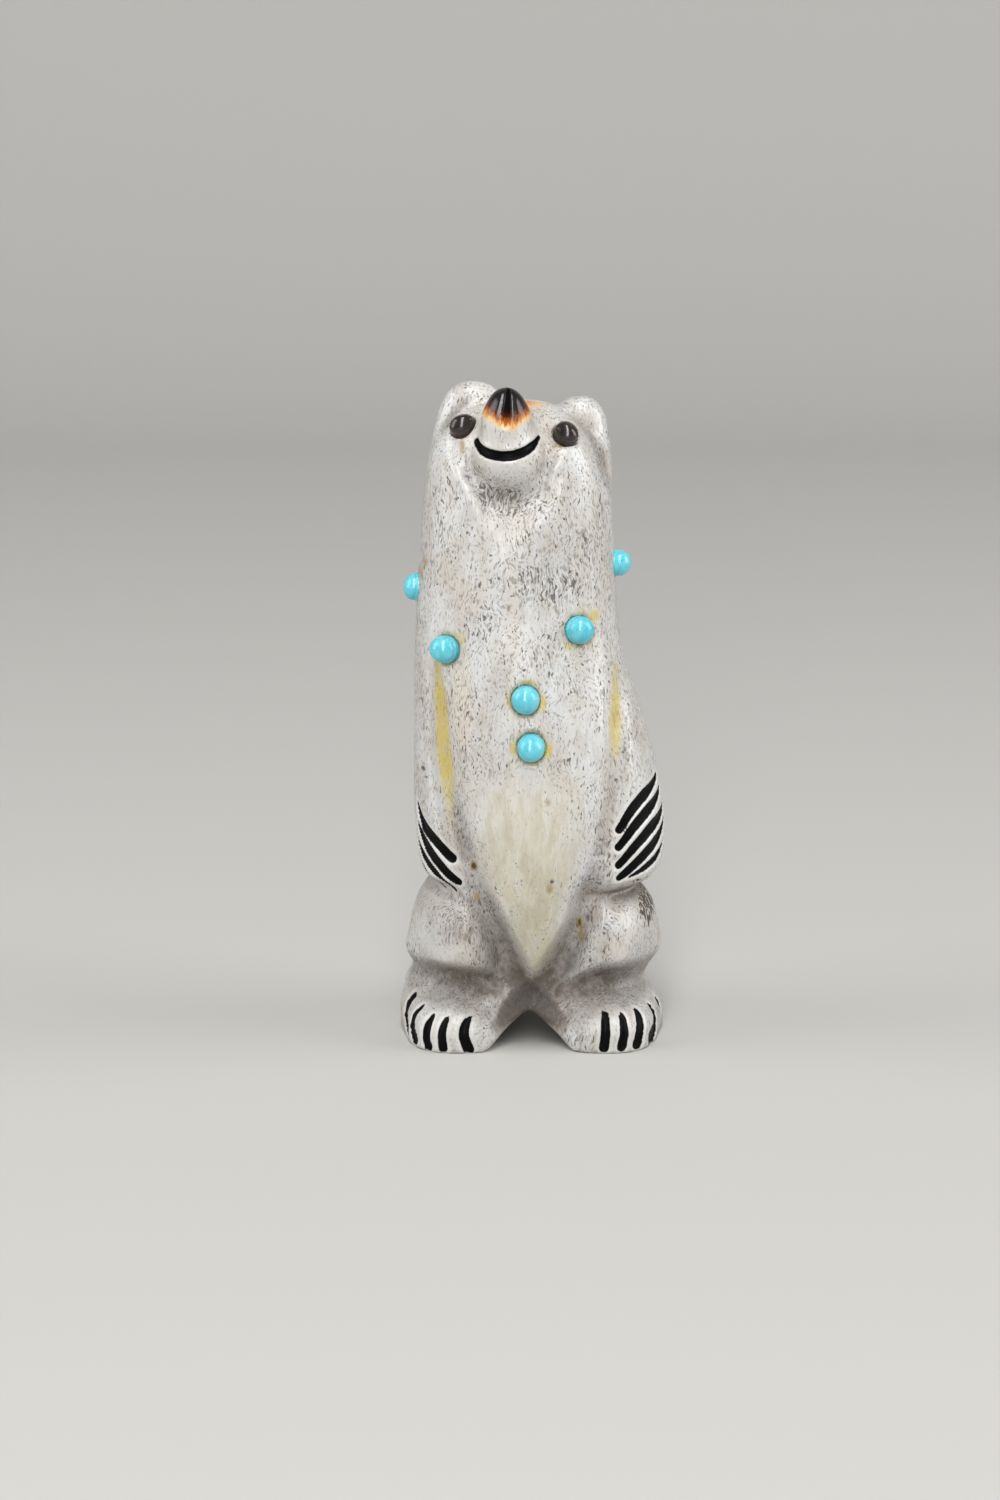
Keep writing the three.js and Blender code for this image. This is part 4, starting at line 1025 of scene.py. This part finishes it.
bend = add(tree, "TexNoise", {"Vector": place, "Scale": METRE / 5, "Detail": 2}, "Color")
bend = add(tree, "VectorMath", {0: bend, 1: (0.5, 0.5, 0.5)}, operation="SUBTRACT")
bend = add(tree, "VectorMath", {0: bend, "Scale": BEND}, operation="SCALE")
bent = add(tree, "VectorMath", {0: place, 1: bend}, operation="ADD")

rim = add(tree, "MapRange", {"Value": attribute["claw"], FROM: -0.75, TO: -0.25})
busy = add(tree, "TexNoise", {"Vector": place, "Scale": METRE / 6, "Detail": 2})
busy = add(tree, "MapRange", {"Value": busy, FROM: 0.35, TO: 0.65, LOW: -0.045, HIGH: 0.03})
# what makes the dashes more or fewer, and by how much
for what, much in ((belly, -0.12), (attribute["porous"], 0.075), (attribute["grime_and_shade"], 0.03), (rim, -0.08),
                   (attribute["dense"], -0.06)):
    busy = add(tree, "Math", {0: what, 1: much, 2: busy}, operation="MULTIPLY_ADD")
holes = []
for across, length, begins, full, dark in DASHES:
    grain = along_beam(tree, bent, across, length, 1.5, 0.5)
    hole = add(tree, "Math", {0: grain, 1: busy}, operation="ADD")
    holes.append(add(tree, "MapRange", {"Value": hole, FROM: begins, TO: full, LOW: 0, HIGH: dark}))
open_pores = add(tree, "Math", {0: attribute["spongy"], 1: 0.37, 2: grain}, operation="MULTIPLY_ADD")
open_pores = add(tree, "MapRange", {"Value": open_pores, FROM: 0.81, TO: 0.84})
pores = attribute["pit"]
for hole in [*holes, open_pores]:
    pores = add(tree, "Math", {0: pores, 1: hole}, operation="MAXIMUM")
layers.append((pores, "#453E38"))
print("dashes:", ", ".join(f"grain of {d[0]} x {d[1]} mm" for d in DASHES))

# %% [markdown]
# ## Age, painted light, stain and fire
#
# Over the bone come the things that happened to it. Ridges and the edges of the strokes are rubbed pale,
# and a painted highlight lightens the ridges, the thighs and the tops of the feet further. Hollows have gone
# grey-brown and carry painted shade too, the lower body is painted darker towards the bottom as shade, and
# it is nearly black where the feet meet, which is dirt and painted shadow under the arch. The stain in the
# long grooves is a strong yellow at its heart and runs out into the grain, and the amber spots have a dark
# core where they are thick. The glue has left a thin tan rim round each stone. The nose is charred black at
# its tip, brown below, and ends in a ragged orange edge where the flame only licked it.

# %% Patina with painted shade and highlights, stains and scorch
# pale rims of the strokes and rubbed ridges, with painted highlights on the ridges, thighs and feet
rim_worn_and_highlit = add(tree, "Math", {0: rim, 1: attribute["worn_and_highlit"]}, operation="MAXIMUM")
rim_worn_and_highlit = add(tree, "Math", {0: rim_worn_and_highlit, 1: 0.6}, operation="MULTIPLY")
patchy = add(tree, "TexNoise", {"Vector": place, "Scale": METRE / 1.6, "Detail": 4, "Roughness": 0.65})
patchy = add(tree, "MapRange", {"Value": patchy, FROM: 0.35, TO: 0.65, LOW: 0.78, HIGH: 1.08})
# grey-brown dirt with painted shade: hollows, shadowed places and the lower body are drawn darker
dirt_and_shade = add(tree, "Math", {0: attribute["grime_and_shade"], 1: attribute["hollow_shade"]}, operation="MAXIMUM")
dirt_and_shade = add(tree, "Math", {0: patchy, 1: dirt_and_shade}, operation="MULTIPLY")
dirt_and_shade = add(tree, "MapRange", {"Value": dirt_and_shade, FROM: 0.06, TO: 1.15, LOW: 0, HIGH: 1})
# nearly black where the feet meet: dirt and painted shadow under the arch
deep = add(tree, "Math", {0: patchy, 1: attribute["grime_and_shade"]}, operation="MULTIPLY")
deep = add(tree, "MapRange", {"Value": deep, FROM: 0.95, TO: 1.8, LOW: 0, HIGH: 0.75})
layers += [(rim_worn_and_highlit, "#DBDAD7"), (dirt_and_shade, "#5F564C"), (deep, "#2F2822")]

ragged = along_beam(tree, place, 0.8, 2.4, 3, 0.6)
uneven = add(tree, "MapRange", {"Value": ragged, FROM: 0.3, TO: 0.7, LOW: 0.5, HIGH: 1.15})
for key, shade, strength in (("halo", "#B39A5E", 0.5), ("yellow", "#BFA93A", 0.9), ("amber", "#86680F", 1)):
    share = add(tree, "Math", {0: uneven, 1: attribute[key]}, operation="MULTIPLY")
    share = add(tree, "Math", {0: share, 1: strength}, operation="MULTIPLY", use_clamp=True)
    layers.append((share, shade))
core = add(tree, "MapRange", {"Value": attribute["amber"], FROM: 0.95, TO: 1.2, LOW: 0, HIGH: 0.85})
layers.append((core, "#2E1D08"))

fringe = along_beam(tree, place, 0.35, 1.2, 3, 0.65)
fringe = add(tree, "MapRange", {"Value": fringe, FROM: 0.3, TO: 0.7, LOW: -0.5, HIGH: 0.5})
burn = add(tree, "Math", {0: attribute["scorch"], 1: fringe}, operation="ADD")
# how far inside the scorch each colour begins and is complete, in mm
BURNS = [(-0.6, 0.1, "#DDB877"), (0, 0.8, "#B4661E"), (0.6, 1.6, "#55260F"), (1.3, 2.7, "#0C0908")]
for begins, full, shade in BURNS:
    layers.append((add(tree, "MapRange", {"Value": burn, FROM: begins, TO: full}), shade))
charred = add(tree, "MapRange", {"Value": burn, FROM: 1, TO: 2.2})
print("the bone has", len(layers), "layers so far")

# %% [markdown]
# ## Black in the strokes, and the polish
#
# The black in the claws and the mouth is a filler rubbed in and wiped off, so its edge is sharp, it shines
# less than the bone, and it has worn thin in places. The open pores are tiny pits, and they catch no light.
# Dirt, and the painted shade laid with it, is duller than bone, and the soot in the notch of the nose is
# quite matt.

# %% The black, and all layers mixed
inked = add(tree, "Math", {0: attribute["claw"], 1: attribute["mouth"]}, operation="MAXIMUM")
nibble = add(tree, "TexNoise", {"Vector": place, "Scale": METRE / 0.6, "Detail": 2})
nibble = add(tree, "MapRange", {"Value": nibble, LOW: -0.06, HIGH: 0.06})
inked = add(tree, "Math", {0: inked, 1: nibble}, operation="ADD")
inked = add(tree, "MapRange", {"Value": inked, FROM: -0.05, TO: 0.05})
thin = add(tree, "TexNoise", {"Vector": place, "Scale": METRE / 1.6, "Detail": 4, "Roughness": 0.7})
thin = add(tree, "MapRange", {"Value": thin, FROM: 0.55, TO: 0.8, LOW: 0, HIGH: 0.5})
black = add(tree, "Mix", {"Factor": thin, "A": "#050505", "B": "#1F1D1B"}, data_type="RGBA")
layers.append((inked, black))
for share, over in layers:
    bone = add(tree, "Mix", {"Factor": share, "A": bone, "B": over}, data_type="RGBA")
print(len(layers), "layers are mixed")

# %% Roughness, shine and relief
PIT_DEPTH = 0.00006  # metres
dull = add(tree, "MapRange", {"Value": ragged, FROM: 0.3, TO: 0.7, LOW: 0.22, HIGH: 0.34})
for what, much in ((pores, 0.3), (dirt_and_shade, 0.25)):
    dull = add(tree, "Math", {0: what, 1: much, 2: dull}, operation="MULTIPLY_ADD")
soot = add(tree, "MapRange", {"Value": attribute["soot"], FROM: 0.02, TO: 0.15, LOW: 0.22, HIGH: 0.8})
for share, other in ((inked, 0.42), (charred, soot)):
    dull = add(tree, "Mix", {"Factor": share, "A": dull, "B": other})
shine = add(tree, "MapRange", {"Value": attribute["soot"], FROM: 0.02, TO: 0.12, LOW: 0.5, HIGH: 0.05})
shine = add(tree, "Mix", {"Factor": inked, "A": shine, "B": 0.06})
pits = add(tree, "MapRange", {"Value": charred, LOW: -1, HIGH: 0})
pits = add(tree, "Math", {0: pores, 1: pits}, operation="MULTIPLY")
relief = add(tree, "Bump", {"Height": pits, "Strength": 0.4, "Distance": PIT_DEPTH})
surface = {
    "Base Color": bone, "Roughness": dull, "Specular IOR Level": shine, "Normal": relief, "IOR": 1.55,
    "Subsurface Weight": 0.12, "Subsurface Radius": (1.0, 0.75, 0.5), "Subsurface Scale": 0.0012,
}
finish_material(antler, surface, [bear])

# %% [markdown]
# ## Turquoise
#
# The stones are sky blue with hardly any matrix, only faint clouds of a greener and a paler blue and a few
# brown specks. Turquoise is porous and is polished with wax, so it shines softly: an index of 1.61 and a
# roughness near 0.2. Light goes in a little way, which keeps the dome's shadow side bright.

# %% The turquoise
turquoise, tree, place = start_material("waxed_turquoise")
clouds = {"Vector": place, "Scale": METRE / 1.8, "Detail": 4, "Roughness": 0.6, "Distortion": 0.5}
clouds = add(tree, "MapRange", {"Value": add(tree, "TexNoise", clouds), FROM: 0.35, TO: 0.7})
blue = add(tree, "Mix", {"Factor": clouds, "A": "#4CB4C8", "B": "#74CBD3"}, data_type="RGBA")
specks = add(tree, "TexVoronoi", {"Vector": place, "Scale": METRE / 0.9, "Randomness": 1})
specks = add(tree, "MapRange", {"Value": specks, FROM: 0.03, TO: 0.13, LOW: 0.35, HIGH: 0})
blue = add(tree, "Mix", {"Factor": specks, "A": blue, "B": "#4C7F7C"}, data_type="RGBA")
wax = add(tree, "MapRange", {"Value": clouds, LOW: 0.16, HIGH: 0.26})
surface = {
    "Base Color": blue, "Roughness": wax, "IOR": 1.61,
    "Subsurface Weight": 0.15, "Subsurface Radius": (0.4, 0.8, 1.0), "Subsurface Scale": 0.0008,
}
finish_material(turquoise, surface, stones)

# %% [markdown]
# ## The eyes
#
# Two dark brown, nearly black stones, ground less carefully than the turquoise. The stone itself is fairly
# dull, and a clear polish over it, the shader's coat, gives the small sharp lights. In strong light a brown
# glow shows inside, and the grinding has left faint flats that bend the reflection.

# %% The dark stones
dark, tree, place = start_material("polished_dark_stone")
depths = add(tree, "TexNoise", {"Vector": place, "Scale": METRE / 1.5, "Detail": 3})
depths = add(tree, "MapRange", {"Value": depths, FROM: 0.4, TO: 0.75})
brown = add(tree, "Mix", {"Factor": depths, "A": "#140C0A", "B": "#35211A"}, data_type="RGBA")
ground = add(tree, "TexVoronoi", {"Vector": place, "Scale": METRE / 2.2}, feature="SMOOTH_F1")
relief = add(tree, "Bump", {"Height": ground, "Strength": 0.25, "Distance": 0.0003})
surface = {
    "Base Color": brown, "Roughness": 0.3, "Normal": relief, "IOR": 1.6, "Specular IOR Level": 0.2,
    "Coat Weight": 0.9, "Coat Roughness": 0.06,
}
finish_material(dark, surface, eyes)

# %% [markdown]
# ## Floor, light and camera
#
# A pale sweep of paper runs under the bear and up behind it. Two tall strips of light, one in front and one
# nearly above, give the long highlights on nose, eyes and stones, and a soft light on each side fills the
# rest. The camera looks down at 13 degrees from 0.6 m, as somebody does who has put the bear on a table in
# front of them.

# %% The sweep
SWEEP_FRONT, SWEEP_BACK, SWEEP_BEND, SWEEP_HALF, SWEEP_TOP = -1.5, 0.55, 0.25, 1.6, 1.6
turn = np.linspace(0, np.pi / 2, 16)
run = np.concatenate([[SWEEP_FRONT], SWEEP_BACK + SWEEP_BEND * np.sin(turn), [SWEEP_BACK + SWEEP_BEND]])
rise = np.concatenate([[0], SWEEP_BEND * (1 - np.cos(turn)), [SWEEP_TOP]])
sweep_points = [(side * SWEEP_HALF, y, z) for y, z in zip(run, rise) for side in (-1, 1)]
sweep_faces = [(2 * i, 2 * i + 1, 2 * i + 3, 2 * i + 2) for i in range(len(run) - 1)]
sweep_mesh = bpy.data.meshes.new("paper_sweep")
sweep_mesh.from_pydata(sweep_points, [], sweep_faces)
sweep_mesh.polygons.foreach_set("use_smooth", np.ones(len(sweep_mesh.polygons), bool))
floor = into_scene("paper_sweep", sweep_mesh)
finish_material(start_material("matt_paper")[0], {"Base Color": "#B9B7B3", "Roughness": 0.8}, [floor])
print("the sweep has", len(sweep_faces), "faces")

# %% Light
TARGET = np.array([-4.53, 0, 41.5]) * SCALE
# name, where, width and height in metres, watts
LIGHTS = [
    ("front_strip", (-0.05, -0.8, 0.42), 0.2, 0.75, 4),
    ("top_strip", (-0.02, -0.34, 0.86), 0.2, 0.75, 4.4),
    ("soft_left", (-0.9, -0.1, 0.45), 0.6, 0.8, 4),
    ("soft_right", (0.9, -0.1, 0.45), 0.6, 0.8, 5.2),
]
SKY, SKY_STRENGTH = "#EEF0F2", 0.34


def turn_to(piece, target):
    """Points an object's own -Z at the target, its +Y as near to up as can be."""
    back = np.array(piece.location) - target
    back /= np.linalg.norm(back)
    right = np.cross([0, 0, 1.0], back)
    right /= np.linalg.norm(right)
    matrix = np.eye(4)
    matrix[:3, :3], matrix[:3, 3] = np.stack([right, np.cross(back, right), back], 1), piece.location
    piece.matrix_world = Matrix(matrix.tolist())


for name, where, wide, tall, watts in LIGHTS:
    data = bpy.data.lights.new(name, "AREA")
    data.shape, data.size, data.size_y, data.energy = "RECTANGLE", wide, tall, watts
    lamp = into_scene(name, data)
    lamp.location = where
    turn_to(lamp, TARGET)
world = bpy.data.worlds.new("studio")
world.use_nodes = True
background = world.node_tree.nodes["Background"].inputs
background["Color"].default_value, background["Strength"].default_value = colour(SKY), SKY_STRENGTH
bpy.context.scene.world = world
bpy.context.scene.view_settings.view_transform = "Standard"
print(len(LIGHTS), "lights of", sum(light[4] for light in LIGHTS), "W in all")

# %% Camera
ELEVATION, DISTANCE = np.radians(13), 608 * SCALE
LENS, SENSOR = 100, 36  # millimetres
camera_data = bpy.data.cameras.new("camera")
camera_data.sensor_fit, camera_data.sensor_height, camera_data.lens = "VERTICAL", SENSOR, LENS
camera_data.clip_start, camera_data.clip_end = 0.01, 20
camera = into_scene("camera", camera_data)
camera.location = TARGET + DISTANCE * np.array([0, -np.cos(ELEVATION), np.sin(ELEVATION)])
turn_to(camera, TARGET)
bpy.context.scene.camera = camera
print("the camera stands", round(DISTANCE, 3), "m away")
